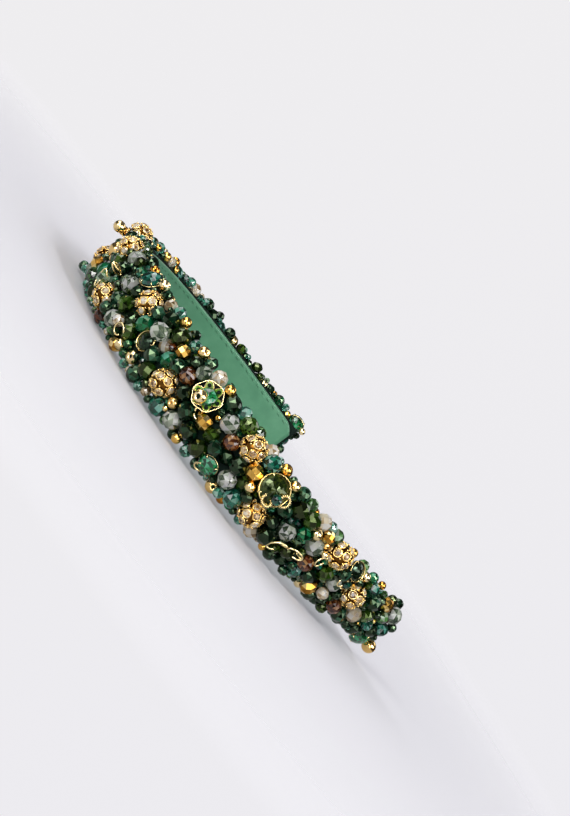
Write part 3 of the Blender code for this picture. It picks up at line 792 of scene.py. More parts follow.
def make_camera():
    """The photograph's view of the band, a little above the floor that it lies on."""
    toward = Vector((
        math.cos(CAMERA_TURN) * math.cos(CAMERA_RISE),
        -math.sin(CAMERA_TURN) * math.cos(CAMERA_RISE),
        math.sin(CAMERA_RISE),
    ))
    level = (-toward).cross(Vector((0, 0, 1))).normalized()
    upright = level.cross(-toward)
    right = level * math.cos(CAMERA_ROLL) + upright * math.sin(CAMERA_ROLL)
    top = upright * math.cos(CAMERA_ROLL) - level * math.sin(CAMERA_ROLL)
    aside = (PHOTO_WIDTH / 2 - AIM_PIXEL[0]) / FOCAL_PIXELS
    above = (AIM_PIXEL[1] - PHOTO_HEIGHT / 2) / FOCAL_PIXELS
    back = -(-toward + right * aside + top * above).normalized()
    across = top.cross(back).normalized()
    over = back.cross(across)
    turn = Matrix((across, over, back)).transposed().to_4x4()
    lens = bpy.data.cameras.new("camera")
    lens.lens = SENSOR * FOCAL_PIXELS / PHOTO_HEIGHT
    lens.sensor_width = SENSOR
    lens.clip_start = 0.01
    lens.clip_end = 50.0
    camera = bpy.data.objects.new("camera", lens)
    camera.matrix_world = Matrix.Translation(AIM_POINT + OFFSET + toward * CAMERA_DISTANCE) @ turn
    bpy.context.scene.collection.objects.link(camera)
    bpy.context.scene.camera = camera


def area_light(name, place, target, size, power, colour):
    light = bpy.data.lights.new(name, "AREA")
    light.shape = "RECTANGLE"
    light.size, light.size_y = size
    light.energy = power
    light.color = colour
    lamp = bpy.data.objects.new(name, light)
    lamp.location = place
    lamp.rotation_euler = (Vector(target) - Vector(place)).to_track_quat("-Z", "Y").to_euler()
    bpy.context.scene.collection.objects.link(lamp)


def make_room():
    """A pale seamless floor that fades into a pale studio, and soft light."""
    world = bpy.data.worlds.new("studio")
    world.use_nodes = True
    tree = world.node_tree
    way_out = tree.nodes.new("ShaderNodeTexCoord").outputs["Generated"]
    slope = worked(tree, "ShaderNodeVectorMath", "DOT_PRODUCT", way_out, PAPER_SLOPE)
    paper = ramp(tree, ranged(tree, slope, 0.0, 1.0, -0.30, 0.12), [PAPER_LOW, PAPER_HIGH])
    studio = None
    for way, edge, core, strength in STUDIO_WINDOWS:
        toward = worked(tree, "ShaderNodeVectorMath", "DOT_PRODUCT", way_out, Vector(way).normalized())
        glow = ranged(tree, toward, 0.0, strength, edge, core)
        studio = glow if studio is None else worked(tree, "ShaderNodeMath", "ADD", studio, glow)
    path = tree.nodes.new("ShaderNodeLightPath")
    choice = tree.nodes.new("ShaderNodeMix")
    choice.data_type = "RGBA"
    tree.links.new(path.outputs["Is Glossy Ray"], choice.inputs["Factor"])
    tree.links.new(paper, choice.inputs["A"])
    tree.links.new(studio, choice.inputs["B"])
    diffuse = path.outputs["Is Diffuse Ray"]
    shade = worked(tree, "ShaderNodeMath", "MULTIPLY_ADD", diffuse, AMBIENT - 1, 1.0)
    tree.links.new(choice.outputs["Result"], tree.nodes["Background"].inputs["Color"])
    tree.links.new(shade, tree.nodes["Background"].inputs["Strength"])
    bpy.context.scene.world = world
    make_floor()
    for row in LIGHTS:
        area_light(*row)
    bpy.context.scene.view_settings.view_transform = "Standard"


def make_floor():
    mesh = bpy.data.meshes.new("floor")
    rim = [polar(FLOOR_REACH, math.tau * step / FLOOR_SIDES, 0.0) for step in range(FLOOR_SIDES)]
    mesh.from_pydata(rim, [], [tuple(range(FLOOR_SIDES))])
    material, tree, shader = new_material("floor_paper")
    tree.links.new(ramp(tree, noise(tree, 3.0), FLOOR_TONES), shader.inputs["Base Color"])
    shader.inputs["Roughness"].default_value = 0.9
    shader.inputs["Specular IOR Level"].default_value = 0.2
    place = tree.nodes.new("ShaderNodeTexCoord")
    reach = worked(tree, "ShaderNodeVectorMath", "LENGTH", place.outputs["Object"])
    tree.links.new(ranged(tree, reach, 1.0, 0.0, *FLOOR_FADE), shader.inputs["Alpha"])
    mesh.materials.append(material)
    floor = bpy.data.objects.new("floor", mesh)
    bpy.context.scene.collection.objects.link(floor)


# The ribbon-covered strip

RIBBON_STEPS = 220
RIBBON_EDGE_STEPS = 6
RIBBON_CORNER = 0.7 * MM
PULL_DEPTH = 0.06 * MM
PULL_WAVES = (1900, 410)
STITCH_PITCH = 3.4 * MM
STITCH_LENGTH = 1.7 * MM
STITCH_INSET = 1.5 * MM
STITCH_SLANT = 0.25 * MM
STITCH_THREAD = 0.13 * MM
BED_STEPS = 150
BED_ACROSS = 26
BED_DROP = 0.12 * MM
BED_ROUGHNESS = (-0.12, 0.10)


def make_ribbon():
    """The satin-covered strip: rounded edges, drawn-in tips and faint pull lines."""
    soup = Soup()
    sections = []
    for step in range(RIBBON_STEPS + 1):
        distance = HALF_ARC * (2 * step / RIBBON_STEPS - 1)
        half = strip_width(distance) / 2
        to_end = HALF_ARC - abs(distance)
        if to_end < STRIP_TIP_ROUND:
            half *= 1 - STRIP_TIP_DRAW * (1 - to_end / STRIP_TIP_ROUND) ** 2
        pull = PULL_DEPTH * math.prod(math.sin(distance * waves) for waves in PULL_WAVES)
        section = []
        for sign in (1, -1):
            for turn in range(RIBBON_EDGE_STEPS + 1):
                lean = math.pi * turn / RIBBON_EDGE_STEPS
                height = STRIP_THICKNESS / 2 * (1 - sign * math.cos(lean))
                section.append((height, sign * (half - RIBBON_CORNER * (1 - math.sin(lean)))))
            for share in (0.6, 0.2, -0.2, -0.6):
                section.append((STRIP_THICKNESS if sign > 0 else pull, sign * share * half))
        sections.append([lifted(distance, height, level) for height, level in section])
    soup.add(skinned(sections))
    soup.build("ribbon_band", RIBBON_SATIN, "ribbon", ["strip"])


def make_stitches():
    """Small hand stitches along both edges of the ribbon's inside."""
    soup = Soup()
    count = int((HALF_ARC - 4 * MM) / STITCH_PITCH)
    for edge in (-1, 1):
        for index in range(-count, count + 1):
            route = []
            for share in (0.0, 0.25, 0.5, 0.75, 1.0):
                distance = index * STITCH_PITCH + (share - 0.5) * STITCH_LENGTH
                level = edge * (strip_width(distance) / 2 - STITCH_INSET + STITCH_SLANT * (share - 0.5))
                height = (0.05 - 0.16 * math.sin(math.pi * share)) * MM
                route.append(lifted(distance, height, level))
            soup.add(tube_shape(route, STITCH_THREAD, 5))
    soup.build("ribbon_stitches", GREEN_THREAD, "ribbon", ["strip"])


def make_bed(side, name):
    """The stitched bed of one half: a domed mass of thread that the beads are sunk in, coloured near black
    so that it also serves as painted shade in the gaps between the beads.
    """
    soup = Soup()
    start, stop = CLEARANCE / 2, HALF_ARC + BED_TIP_REACH
    sections = []
    rng = random.Random(31 + side)
    for step in range(BED_STEPS + 1):
        distance = side * (start + (stop - start) * step / BED_STEPS)
        half = bed_half_width(distance)
        section = []
        for turn in range(BED_ACROSS + 1):
            level = half * math.cos(math.pi * turn / BED_ACROSS)
            height = bed_top(distance, level) - BED_DROP + rng.uniform(*BED_ROUGHNESS) * MM
            section.append(lifted(distance, height, level))
        for share in (-1.0, -0.5, 0.0, 0.5, 1.0):
            section.append(lifted(distance, BED_BASE, share * half))
        sections.append(section)
    soup.add(skinned(sections[::side]))
    soup.build(f"thread_bed_{name}", DARK_THREAD_SHADE, "bead_mix", [f"bead_field_{name}"])


# The beads

Spot = namedtuple("Spot", "look centre radius outward tint")
SEAT_LEAST = 0.3 * MM
LARGE_BEAD = 6.6 * MM
SEAT_SLOPE = 0.77
GOLD_LIFT = 0.5 * MM
LIFTED_LOOKS = ("gold_cut", "gold_ball", "amber", "topaz")
STAND_MOST = 4.7 * MM
FILL_STAND = 4.0 * MM
SWELL = 1.05
SMALLEST = 1.25 * MM
LEAST_FILL = 0.95 * MM
PATH_STEP = 0.5 * MM
PATH_SPREAD = 1.08
REACH_PAST_TIP = 4.5 * MM
REACH_PAST_EDGE = 4.4 * MM
FLOOR_GAP = 0.05 * MM
SINK_SHARE = 0.4
PUSH_SHARE = 0.7


def path_table():
    """The strip's inside as rows of distance, place and outward direction."""
    steps = int(HALF_ARC * PATH_SPREAD / PATH_STEP)
    rows = []
    for step in range(-steps, steps + 1):
        point, outward = station(step * PATH_STEP)
        if step == 0:
            outward = Vector((0.0, -1.0))
        rows.append((step * PATH_STEP, point.x, point.y, outward.x, outward.y))
    return np.array(rows).T


PATH = path_table()


def outward_at(distances):
    across = np.stack([np.interp(distances, PATH[0], PATH[3]), np.interp(distances, PATH[0], PATH[4])], 1)
    across /= np.linalg.norm(across, axis=1)[:, None]
    return across


def places(state):
    """Places of balls held as rows of distance along the band, level across it and height off it."""
    outward = outward_at(state[:, 0])
    x = np.interp(state[:, 0], PATH[0], PATH[1]) + outward[:, 0] * state[:, 2]
    y = np.interp(state[:, 0], PATH[0], PATH[2]) + outward[:, 1] * state[:, 2]
    return np.stack([x, y, state[:, 1]], 1)


def kept_on_band(state, radii, stand_most):
    """The balls moved, where they must be, off the strip, out of the floor and down onto the bed."""
    reach = HALF_ARC + REACH_PAST_TIP - radii
    state[:, 0] = np.clip(state[:, 0], -reach, reach)
    strip_half = strip_width(state[:, 0]) / 2
    widest = strip_half + REACH_PAST_EDGE - radii
    state[:, 1] = np.clip(state[:, 1], -widest, widest)
    swelled = radii * SWELL
    state[:, 1] = np.clip(state[:, 1], FLOOR + swelled + FLOOR_GAP, CEILING - swelled)
    beyond = np.maximum(np.abs(state[:, 1]) - strip_half, 0)
    need = radii + CLEARANCE
    clear = STRIP_THICKNESS + np.sqrt(np.maximum(need**2 - beyond**2, 0))
    lowest = np.where(beyond < need, clear, radii * 0.5)
    tops = bed_top(state[:, 0], state[:, 1])
    lowest = np.maximum(lowest, np.where(beyond < need, tops - SINK_SHARE * radii, 0))
    state[:, 2] = np.clip(state[:, 2], lowest, np.maximum(tops + stand_most - radii, lowest))


def relaxed(state, anchors, radii, fixed, fixed_radii, rounds, pull):
    """Pushes balls that overlap apart, each held back towards its own place."""
    for _ in range(rounds):
        points = places(state)
        push = np.zeros_like(points)
        for others, other_radii, share in ((points, radii, 0.5), (fixed, fixed_radii, 1.0)):
            away = points[:, None] - others[None]
            length = np.linalg.norm(away, axis=2)
            if others is points:
                np.fill_diagonal(length, 1.0)
            over = np.maximum(radii[:, None] + other_radii[None] - length, 0)
            push += share * (away / np.maximum(length, 1e-9)[..., None] * over[..., None]).sum(1)
        push *= PUSH_SHARE
        outward = outward_at(state[:, 0])
        state[:, 0] += push[:, 1] * outward[:, 0] - push[:, 0] * outward[:, 1]
        state[:, 1] += push[:, 2]
        state[:, 2] += push[:, 0] * outward[:, 0] + push[:, 1] * outward[:, 1]
        state += (anchors - state) * pull
        kept_on_band(state, radii, STAND_MOST)
    return state


def seat_of(diameter):
    """How deep a bead is sunk in the bed, so that small beads stand nearly as high as large ones."""
    return max(BEAD_SEAT - SEAT_SLOPE * (LARGE_BEAD - diameter), SEAT_LEAST)


def charted_state(rows):
    state = []
    for row, mirror in rows:
        distance = mirror * row.along * HALF_ARC
        level = edge_level(distance, mirror * row.across)
        radius = row.size * MM / 2
        lift = GOLD_LIFT if row.look in LIFTED_LOOKS else 0.0
        state.append((distance, level, bed_top(distance, level) + radius - seat_of(2 * radius) + lift))
    return np.array(state)


# Charted beads of the bright looks sit high on their ramps, so that more of their facets carry painted
# glints.
BRIGHT_LOOKS = ("emerald", "teal", "aqua", "green", "topaz", "champagne")
BRIGHT_TONE_AND_LIGHT = 0.6
FILL_LOOKS = ["dark"] * 11 + ["olive"] * 5 + ["emerald"] * 3 + ["gold_ball"] * 2
FILL_LOOKS += ["teal", "topaz", "green", "gold_cut"]
EDGE_LOOKS = ["dark"] * 4 + ["aqua"] * 3 + ["green"] * 2
EDGE_LOOKS += ["amber", "champagne", "emerald", "olive", "gold_ball"]
# Rounds of pushing apart, and how hard each ball is pulled back to its own place
CHART_ROUNDS = (80, 0.12)
FILL_ROUNDS = (40, 0.06)
# How much of a ball the fill keeps out of
CUP_SHARE = 0.93
STONE_SHARE = 0.98
BEAD_SHARE = 0.97
FILL_TRIES = 20000
COARSE_TRIES = 9000
FILL_RISES = (-0.6, 0.2, 1.0, 1.8)
FILL_LARGEST = 3.2 * MM
EDGE_LARGEST = 2.3 * MM
EDGE_EVERY = 4
FILL_LENGTH = 1.015
FILL_BREADTH = 0.92
EDGE_BREADTH = (0.86, 1.04)
FILL_SIZES = (0.7, 1.0)
FILL_SQUEEZE = 1.08


def all_beads(stones):
    """Every bead: the charted ones, the same turned end for end on the right half, and fill between."""
    rng = random.Random(20)
    fixed = np.array([tuple(spot.centre) for spot in stones])
    shares = [CUP_SHARE if spot.kind.endswith("cup") else STONE_SHARE for spot in stones]
    fixed_radii = np.array([spot.radius * share for spot, share in zip(stones, shares)])
    rows = both_halves(BEADS)
    looks = [row.look for row, _ in rows]
    radii = np.array([row.size * MM / 2 for row, _ in rows])
    anchors = charted_state(rows)
    state = relaxed(anchors.copy(), anchors, radii, fixed, fixed_radii, *CHART_ROUNDS)
    centres = np.vstack([fixed, places(state)])
    taken = np.append(fixed_radii, radii * BEAD_SHARE)
    extra, extra_radii = [], []
    for index in range(FILL_TRIES):
        edge = index % EDGE_EVERY == 0
        smallest = SMALLEST if index < COARSE_TRIES else LEAST_FILL
        distance = rng.uniform(-FILL_LENGTH, FILL_LENGTH) * HALF_ARC
        if edge:
            across = rng.choice((-1, 1)) * rng.uniform(*EDGE_BREADTH)
        else:
            across = rng.uniform(-FILL_BREADTH, FILL_BREADTH)
        level = edge_level(distance, across)
        largest = (EDGE_LARGEST if edge else FILL_LARGEST) * rng.uniform(*FILL_SIZES)
        best = None
        for rise in FILL_RISES:
            trial = np.array([[distance, level, bed_top(distance, level) + rise * MM]])
            kept_on_band(trial, np.array([smallest]), FILL_STAND)
            room = (np.linalg.norm(centres - places(trial), axis=1) - taken).min()
            if best is None or room > best[0]:
                best = (room, trial[0])
        radius = min(best[0] * FILL_SQUEEZE, largest)
        if radius < smallest:
            continue
        extra.append(best[1])
        extra_radii.append(radius)
        centres = np.vstack([centres, places(best[1][None])])
        taken = np.append(taken, radius)
        looks.append(rng.choice(EDGE_LOOKS if edge else FILL_LOOKS))
    state = np.vstack([state, np.array(extra)])
    anchors = np.vstack([anchors, np.array(extra)])
    radii = np.append(radii, extra_radii)
    state = relaxed(state, anchors, radii, fixed, fixed_radii, *FILL_ROUNDS)
    spots = []
    outward = outward_at(state[:, 0])
    for index, (look, place, way, radius) in enumerate(zip(looks, places(state), outward, radii)):
        tint = rng.random()
        if index < len(rows) and look in BRIGHT_LOOKS:
            tint = BRIGHT_TONE_AND_LIGHT + (1 - BRIGHT_TONE_AND_LIGHT) * tint
        spots.append(Spot(look, Vector(place), radius, Vector((*way, 0.0)), tint))
    return spots


SHAPES = {
    "gold_ball": SMOOTH_BALL,
    "amber": SMOOTH_BALL,
    "aqua": ROUND_CUT,
    "green": ROUND_CUT,
    "gold_cut": ROUND_CUT,
    "champagne": ROUND_CUT,
    "clear": CRYSTAL_CUT,
    "topaz": FINE_CUT,
}
DARK_SHAPES = (ROUND_CUT, FLAT_CUT, FINE_CUT)
OUTWARD_CHANCE = 0.12
OUTWARD_WANDER = 0.5
LYING_SHARE = 0.8


def wandering(rng):
    return Vector((rng.uniform(-1, 1), rng.uniform(-1, 1), rng.uniform(-1, 1)))


def bead_axis(rng, outward):
    """The way a bead's hole points: mostly lying along the band, now and then facing out."""
    wild = wandering(rng)
    if rng.random() < OUTWARD_CHANCE:
        return (outward + wild * OUTWARD_WANDER).normalized()
    return (wild - outward * wild.dot(outward) * LYING_SHARE).normalized()


def make_beads(spots):
    """Cuts the beads: all of one look on one half are one joined mesh."""
    rng = random.Random(7)
    soups = {}
    for spot in spots:
        half = "left" if spot.centre.x >= 0 else "right"
        key = (spot.look, half)
        soup = soups.setdefault(key, Soup())
        shape = SHAPES.get(spot.look) or rng.choice(DARK_SHAPES)
        axis = bead_axis(rng, spot.outward)
        soup.add(shape, stand(spot.centre, axis, spot.radius * SWELL, rng.uniform(0, math.tau)), spot.tint)
    for (look, half), soup in sorted(soups.items()):
        slot = SLOTS.get(look, "bead_mix")
        soup.build(f"{look}_beads_{half}", LOOKS[look], slot, [f"bead_field_{half}"])


# The main stones

PAVE_STONES = 20
# Sizes and reaches on a pave ball, as shares of its radius
CORE_SIZE = 0.84
SEAT_REACH = 0.90
CLAW_REACH = 0.29
CLAW_RISE = 0.055
CLAW_START = 0.4
CLAW_SIZE = 0.050
GRAIN_REACH = 0.89
GRAIN_SIZE = 0.075
GRAIN_CLOSE = 0.34


def sphere_spots(count, spin):
    """Directions spread evenly over a ball."""
    golden = math.pi * (3 - math.sqrt(5))
    spots = []
    for index in range(count):
        height = 1 - 2 * (index + 0.5) / count
        spots.append(Vector(polar(math.sqrt(1 - height**2), golden * index + spin, height)))
    return spots


SET_RING = ring_shape(0.300, 0.040, 14, 6)
SET_STONE = turned(
    [(0.10, -0.12), (0.285, -0.01), (0.285, 0.02), (0.20, 0.09), (0.12, 0.115)],
    8, False, True, [0, 0, 0, 1, 0],
)


def make_pave(spot, name, rng):
    """A gold lattice ball set with crystals, each in a ring held by small grains."""
    lattice, stones = Soup(), Soup()
    place = stand(spot.centre, spot.facing, spot.radius, rng.uniform(0, math.tau))
    # The core sits at the dark end of its ramp: painted shade in the gaps between the set stones.
    lattice.add(CORE_BALL, place @ Matrix.Scale(CORE_SIZE, 4), 0.0)
    ways = sphere_spots(PAVE_STONES, rng.uniform(0, 1))
    for way in ways:
        seat = stand(way * SEAT_REACH, way)
        lattice.add(SET_RING, place @ seat, rng.uniform(0.5, 1.0))
        stones.add(SET_STONE, place @ seat @ Matrix.Rotation(rng.uniform(0, 1), 4, "Z"), rng.random())
        for claw in range(4):
            top = seat @ Vector(polar(CLAW_REACH, math.pi / 2 * claw + CLAW_START, CLAW_RISE))
            shot = place @ Matrix.Translation(top) @ Matrix.Scale(CLAW_SIZE, 4)
            lattice.add(SHOT, shot, rng.uniform(0.6, 1.0))
    taken = set()
    for first in range(len(ways)):
        close = sorted(range(len(ways)), key=lambda other: -ways[first].dot(ways[other]))[1:6]
        for second in close:
            for third in close:
                trio = tuple(sorted((first, second, third)))
                if second >= third or trio in taken or ways[second].dot(ways[third]) < GRAIN_CLOSE:
                    continue
                taken.add(trio)
                middle = (ways[first] + ways[second] + ways[third]).normalized()
                grain = place @ Matrix.Translation(middle * GRAIN_REACH) @ Matrix.Scale(GRAIN_SIZE, 4)
                lattice.add(SHOT, grain, rng.uniform(0.3, 1.0))
    lattice.build(f"{name}_lattice", LATTICE_GOLD, "gold", [name])
    stones.build(f"{name}_crystals", SET_CRYSTAL, "clear_glass", [name])


CUP_SHELL = [
    (0.34, -0.93), (0.60, -0.50), (0.90, 0.02), (0.955, 0.24), (0.945, 0.35),
    (0.915, 0.36), (0.90, 0.28), (0.84, 0.05), (0.55, -0.42), (0.25, -0.55),
]
# How far up their ramps the crowns and the open stones sit: crowns mostly in painted shade, open stones
# mostly in painted light.
CROWN_TONE_AND_LIGHT = 0.22
OPEN_TONE_AND_LIGHT = 0.7
RIVOLI_CUT = turned(
    [(0.80, 0.06), (0.89, 0.12), (0.89, 0.22), (0.70, 0.36), (0.50, 0.46), (0.28, 0.54), (0.04, 0.60)],
    16, False, True, [0, 0, 0, 1, 0, 1, 0],
)
FOIL_CUT = turned([(0.04, -0.42), (0.34, -0.24), (0.62, -0.06), (0.88, 0.11)], 14, False, True, [1, 0, 1, 0])
BODY_CUT = turned(
    [
        (0.20, -0.88), (0.58, -0.48), (0.84, -0.14), (0.945, 0.08),
        (0.945, 0.28), (0.76, 0.50), (0.46, 0.64), (0.04, 0.70),
    ],
    12, False, True, [0, 0, 1, 0, 0, 1, 0, 0],
)
OPEN_RING = ring_shape(0.935, 0.035, 30, 6)
OPEN_FOOT = turned([(0.10, -0.96), (0.30, -0.96), (0.34, -0.80), (0.12, -0.78)], 12, True)
OPEN_STONES = {
    "teal_cup": (CUT_TEAL, "teal_glass", 6),
    "emerald_cup": (CUT_EMERALD, "emerald_glass", 4),
}


def stand_along(spot):
    """The placing of a unit shape that faces its spot's way, with X along the band and Y across it."""
    top = spot.facing
    ahead = station(spot.distance + MM)[0] - station(spot.distance - MM)[0]
    ahead = Vector((*ahead, 0.0))
    ahead = (ahead - top * ahead.dot(top)).normalized()
    turn = Matrix((ahead, top.cross(ahead), top)).transposed().to_4x4()
    return Matrix.Translation(spot.centre) @ turn @ Matrix.Scale(spot.radius, 4)


CLAW_ROUTE = ((0.93, 0.06), (0.96, 0.28), (0.90, 0.40), (0.80, 0.44))
CLAW_WIRE = 0.045


def claws(place, count, soup, start):
    """Claws of gold wire that fold over a stone's edge."""
    for claw in range(count):
        turn = math.tau * claw / count + start
        route = [Vector(polar(reach, turn, rise)) for reach, rise in CLAW_ROUTE]
        soup.add(tube_shape(route, CLAW_WIRE), place, 0.9)


def make_cup(spot, name, rng):
    """A cut stone over dark foil in a thin gold cup, held by four claws."""
    shell, foil, crown = Soup(), Soup(), Soup()
    place = stand_along(spot)
    shell.add(turned(CUP_SHELL, 28, True), place, 0.6)
    claws(place, 4, shell, rng.uniform(0, 1))
    foil.add(FOIL_CUT, place, rng.uniform(0.3, 0.8))
    crown.add(RIVOLI_CUT, place, CROWN_TONE_AND_LIGHT)
    shell.build(f"{name}_setting", RIM_GOLD, "gold", [name])
    foil.build(f"{name}_foil", FOIL[spot.kind], "dark_glass", [name])
    crown.build(f"{name}_crown", CROWN_GLASS[spot.kind], "dark_glass", [name])
    if spot.kind == "rivoli":
        make_curls(name, place)


def make_open(spot, name, rng):
    """A large cut stone, see-through down to its point, in a ring of wire with claws."""
    wires, stone = Soup(), Soup()
    place = stand_along(spot)
    look, slot, claw_count = OPEN_STONES[spot.kind]
    stone.add(BODY_CUT, place, OPEN_TONE_AND_LIGHT)
    wires.add(OPEN_RING, place @ Matrix.Translation((0, 0, 0.10)), 0.8)
    claws(place, claw_count, wires, rng.uniform(0, 1))
    wires.add(OPEN_FOOT, place, 0.4)
    wires.build(f"{name}_setting", RIM_GOLD, "gold", [name])
    stone.build(f"{name}_stone", look, slot, [name])


BULLION_RADIUS = 0.42 * MM
BULLION_WIRE = 0.20 * MM
BULLION_PITCH = 0.55 * MM
# Each curl on a rivoli: its middle, size, first turn and sweep, in the stone's own measure
CURLS = [((0.16, -0.74), 0.36, 2.6, 4.9), ((0.74, -0.02), 0.38, 4.9, 4.6)]
CURL_STEPS = 18
CURL_IN = 0.45
CURL_RISE = 0.62
CURL_TILT = 0.10
CURL_ARCH = 0.06
CURL_BEAD = Matrix.Translation((0.40, -0.34, 0.76)) @ Matrix.Scale(0.34, 4)


def make_curls(name, place):
    """Two curls of bullion wire and a teal bead laid over a rivoli."""
    soup = Soup()
    for (x, y), size, start, sweep in CURLS:
        route = []
        for step in range(CURL_STEPS + 1):
            share = step / CURL_STEPS
            turn = start + sweep * share
            reach = size * (1 - CURL_IN * share**2)
            height = CURL_RISE - CURL_TILT * math.hypot(x, y) + CURL_ARCH * math.sin(math.pi * share)
            route.append(place @ Vector((x + reach * math.cos(turn), y + reach * math.sin(turn), height)))
        soup.add(coiled(route, BULLION_RADIUS, BULLION_WIRE, 1 / BULLION_PITCH), None, 0.9)
    soup.build(f"{name}_curls", RIM_GOLD, "gold", [name])
    bead = Soup()
    bead.add(ROUND_CUT, place @ CURL_BEAD, 0.3)
    bead.build(f"{name}_bead", LOOKS["teal"], "teal_glass", [name])


PETALS = 6
PETAL_START = 0.3
PETAL_STEPS = (8, 6)
PETAL_DEPTH = 0.05
PETAL_ROOT = 0.26
PETAL_TIP = 0.93
PETAL_HALF = 0.27
PETAL_NARROW = 0.20
PETAL_WIDEN = 0.74
PETAL_FULLNESS = 0.6
PETAL_LOW = -0.30
PETAL_CLIMB = 0.50
PETAL_DROOP = 0.08
PETAL_CUP = 0.09
PETAL_WIRE = 0.13 * MM
RIM_STEPS = 60
RIM_REACH = 0.95
RIM_WAVE = 0.035
RIM_RISE = 0.13
PETAL_SHADE_PLACE = Matrix.Translation((0.70, 0, 0.07))
HEART_BALL = Matrix.Translation((-0.15, -0.42, 0.34)) @ Matrix.Rotation(0.5, 4, "X") @ Matrix.Scale(0.44, 4)
FLOWER_CUP = turned(
    [(0.22, -0.90), (0.52, -0.42), (0.84, -0.08), (0.80, -0.10), (0.46, -0.34), (0.10, -0.40)], 20, True
)
PETAL_SHADE_SPOT = turned([(0.03, -0.02), (0.125, -0.02), (0.125, 0.03), (0.03, 0.04)], 12, True)
FLOWER_FOOT = turned([(0.10, -0.95), (0.28, -0.95), (0.34, -0.56), (0.10, -0.56)], 14, True)
FLOWER_HEART = turned(
    [(0.10, -0.36), (0.50, -0.16), (0.60, 0.02), (0.48, 0.15), (0.26, 0.23), (0.03, 0.27)],
    11, False, True, [0, 0, 1, 0, 1, 0],
)
WIDE_KNOT_AND_SHADE = turned([(0.30, -0.72), (0.32, 0.0), (0.30, 0.72)], 10, True)


def petal_grid(turn):
    """One cupped petal, as a grid from its root to its round end, and the row of its rim."""
    points, faces = [], []
    along_steps, across_steps = PETAL_STEPS
    for step in range(along_steps + 1):
        share = step / along_steps
        reach = PETAL_ROOT + (PETAL_TIP - PETAL_ROOT) * share
        swell = math.sin(math.pi * (PETAL_NARROW + PETAL_WIDEN * share)) ** PETAL_FULLNESS
        height = PETAL_LOW + PETAL_CLIMB * share - PETAL_DROOP * share**2
        for side in range(across_steps + 1):
            spread = 2 * side / across_steps - 1
            level = spread * PETAL_HALF * swell
            points.append((
                reach * math.cos(turn) - level * math.sin(turn),
                reach * math.sin(turn) + level * math.cos(turn),
                height + PETAL_CUP * spread**2,
            ))
    width = across_steps + 1
    for step in range(along_steps):
        for side in range(across_steps):
            low = step * width + side
            faces.append((low, low + width, low + width + 1, low + 1))
    rim = [step * width for step in range(along_steps + 1)]
    rim += [along_steps * width + side for side in range(1, width)]
    rim += [step * width + across_steps for step in range(along_steps - 1, -1, -1)]
    return points, faces, rim


def thickened(points, faces, depth):
    """A thin closed shell of a grid: the grid, a copy below it, and walls round its border."""
    count = len(points)
    full = list(points) + [(x, y, z - depth) for x, y, z in points]
    edges = {(first, second) for face in faces for first, second in zip(face, face[1:] + face[:1])}
    shell = list(faces) + [tuple(corner + count for corner in reversed(face)) for face in faces]
    for first, second in sorted(edges):
        if (second, first) not in edges:
            shell.append((second, first, first + count, second + count))
    return full, shell, True


def make_flower(spot, name, rng):
    """A glass flower: lime petals edged with gold wire, an emerald heart and a gold ball."""
    wires, petals, heart, ball, dark = Soup(), Soup(), Soup(), Soup(), Soup()
    place = stand_along(spot)
    dark.add(FLOWER_CUP, place)
    for index in range(PETALS):
        turn = math.tau * (index + PETAL_START) / PETALS
        points, faces, rim = petal_grid(turn)
        petals.add(thickened(points, faces, PETAL_DEPTH), place, rng.random())
        # A near-black spot in each petal: painted shade standing for the dark gap in the petal.
        dark.add(PETAL_SHADE_SPOT, place @ Matrix.Rotation(turn, 4, "Z") @ PETAL_SHADE_PLACE)
        route = [place @ Vector(points[corner]) for corner in rim]
        wires.add(tube_shape(route, PETAL_WIRE), None, rng.uniform(0.5, 1))
    ring = []
    for step in range(RIM_STEPS):
        turn = math.tau * step / RIM_STEPS
        reach = RIM_REACH + RIM_WAVE * math.cos(PETALS * turn - math.tau * PETAL_START)
        ring.append(place @ Vector(polar(reach, turn, RIM_RISE)))
    wires.add(tube_shape(ring, PETAL_WIRE, closed=True), None, 0.9)
    wires.add(FLOWER_FOOT, place, 0.4)
    heart.add(FLOWER_HEART, place, 0.8)
    ball.add(WIDE_DRILLED, place @ HEART_BALL, 0.8)
    # The near-black thread in the ball's hole: thread, and painted shade in the hole.
    dark.add(WIDE_KNOT_AND_SHADE, place @ HEART_BALL)
    wires.build(f"{name}_wires", RIM_GOLD, "gold", [name])
    petals.build(f"{name}_petals", PETAL_GLASS, "enamel", [name])
    heart.build(f"{name}_heart", CUT_EMERALD, "emerald_glass", [name])
    ball.build(f"{name}_ball", LOOKS["gold_ball"], "pale_gold", [name])
    dark.build(f"{name}_cup", DARK_THREAD_SHADE, "bead_mix", [name])


def make_crystal(spot, name, rng):
    soup = Soup()
    axis = bead_axis(rng, spot.facing)
    soup.add(CRYSTAL_CUT, stand(spot.centre, axis, spot.radius), rng.uniform(0.4, 0.9), CRYSTAL_SPREAD)
    soup.build(f"{name}_cut", LOOKS["clear"], "clear_glass", [name])


HOLE_WANDER = 0.45
CRYSTAL_SPREAD = 1.1


def make_drilled(spot, name, rng):
    """A polished gold ball whose hole faces out, with the thread's knot inside, near black so that it is
    also painted shade in the hole.
    """
    soup, knot = Soup(), Soup()
    way = (spot.facing + wandering(rng) * HOLE_WANDER).normalized()
    place = stand(spot.centre, way, spot.radius)
    soup.add(SMOOTH_BALL, place, rng.random())
    knot.add(turned([(0.20, -0.80), (0.22, 0.0), (0.20, 0.80)], 8, True), place)
    soup.build(f"{name}_shell", LOOKS["gold_ball"], "pale_gold", [name])
    knot.build(f"{name}_thread", DARK_THREAD_SHADE, "bead_mix", [name])


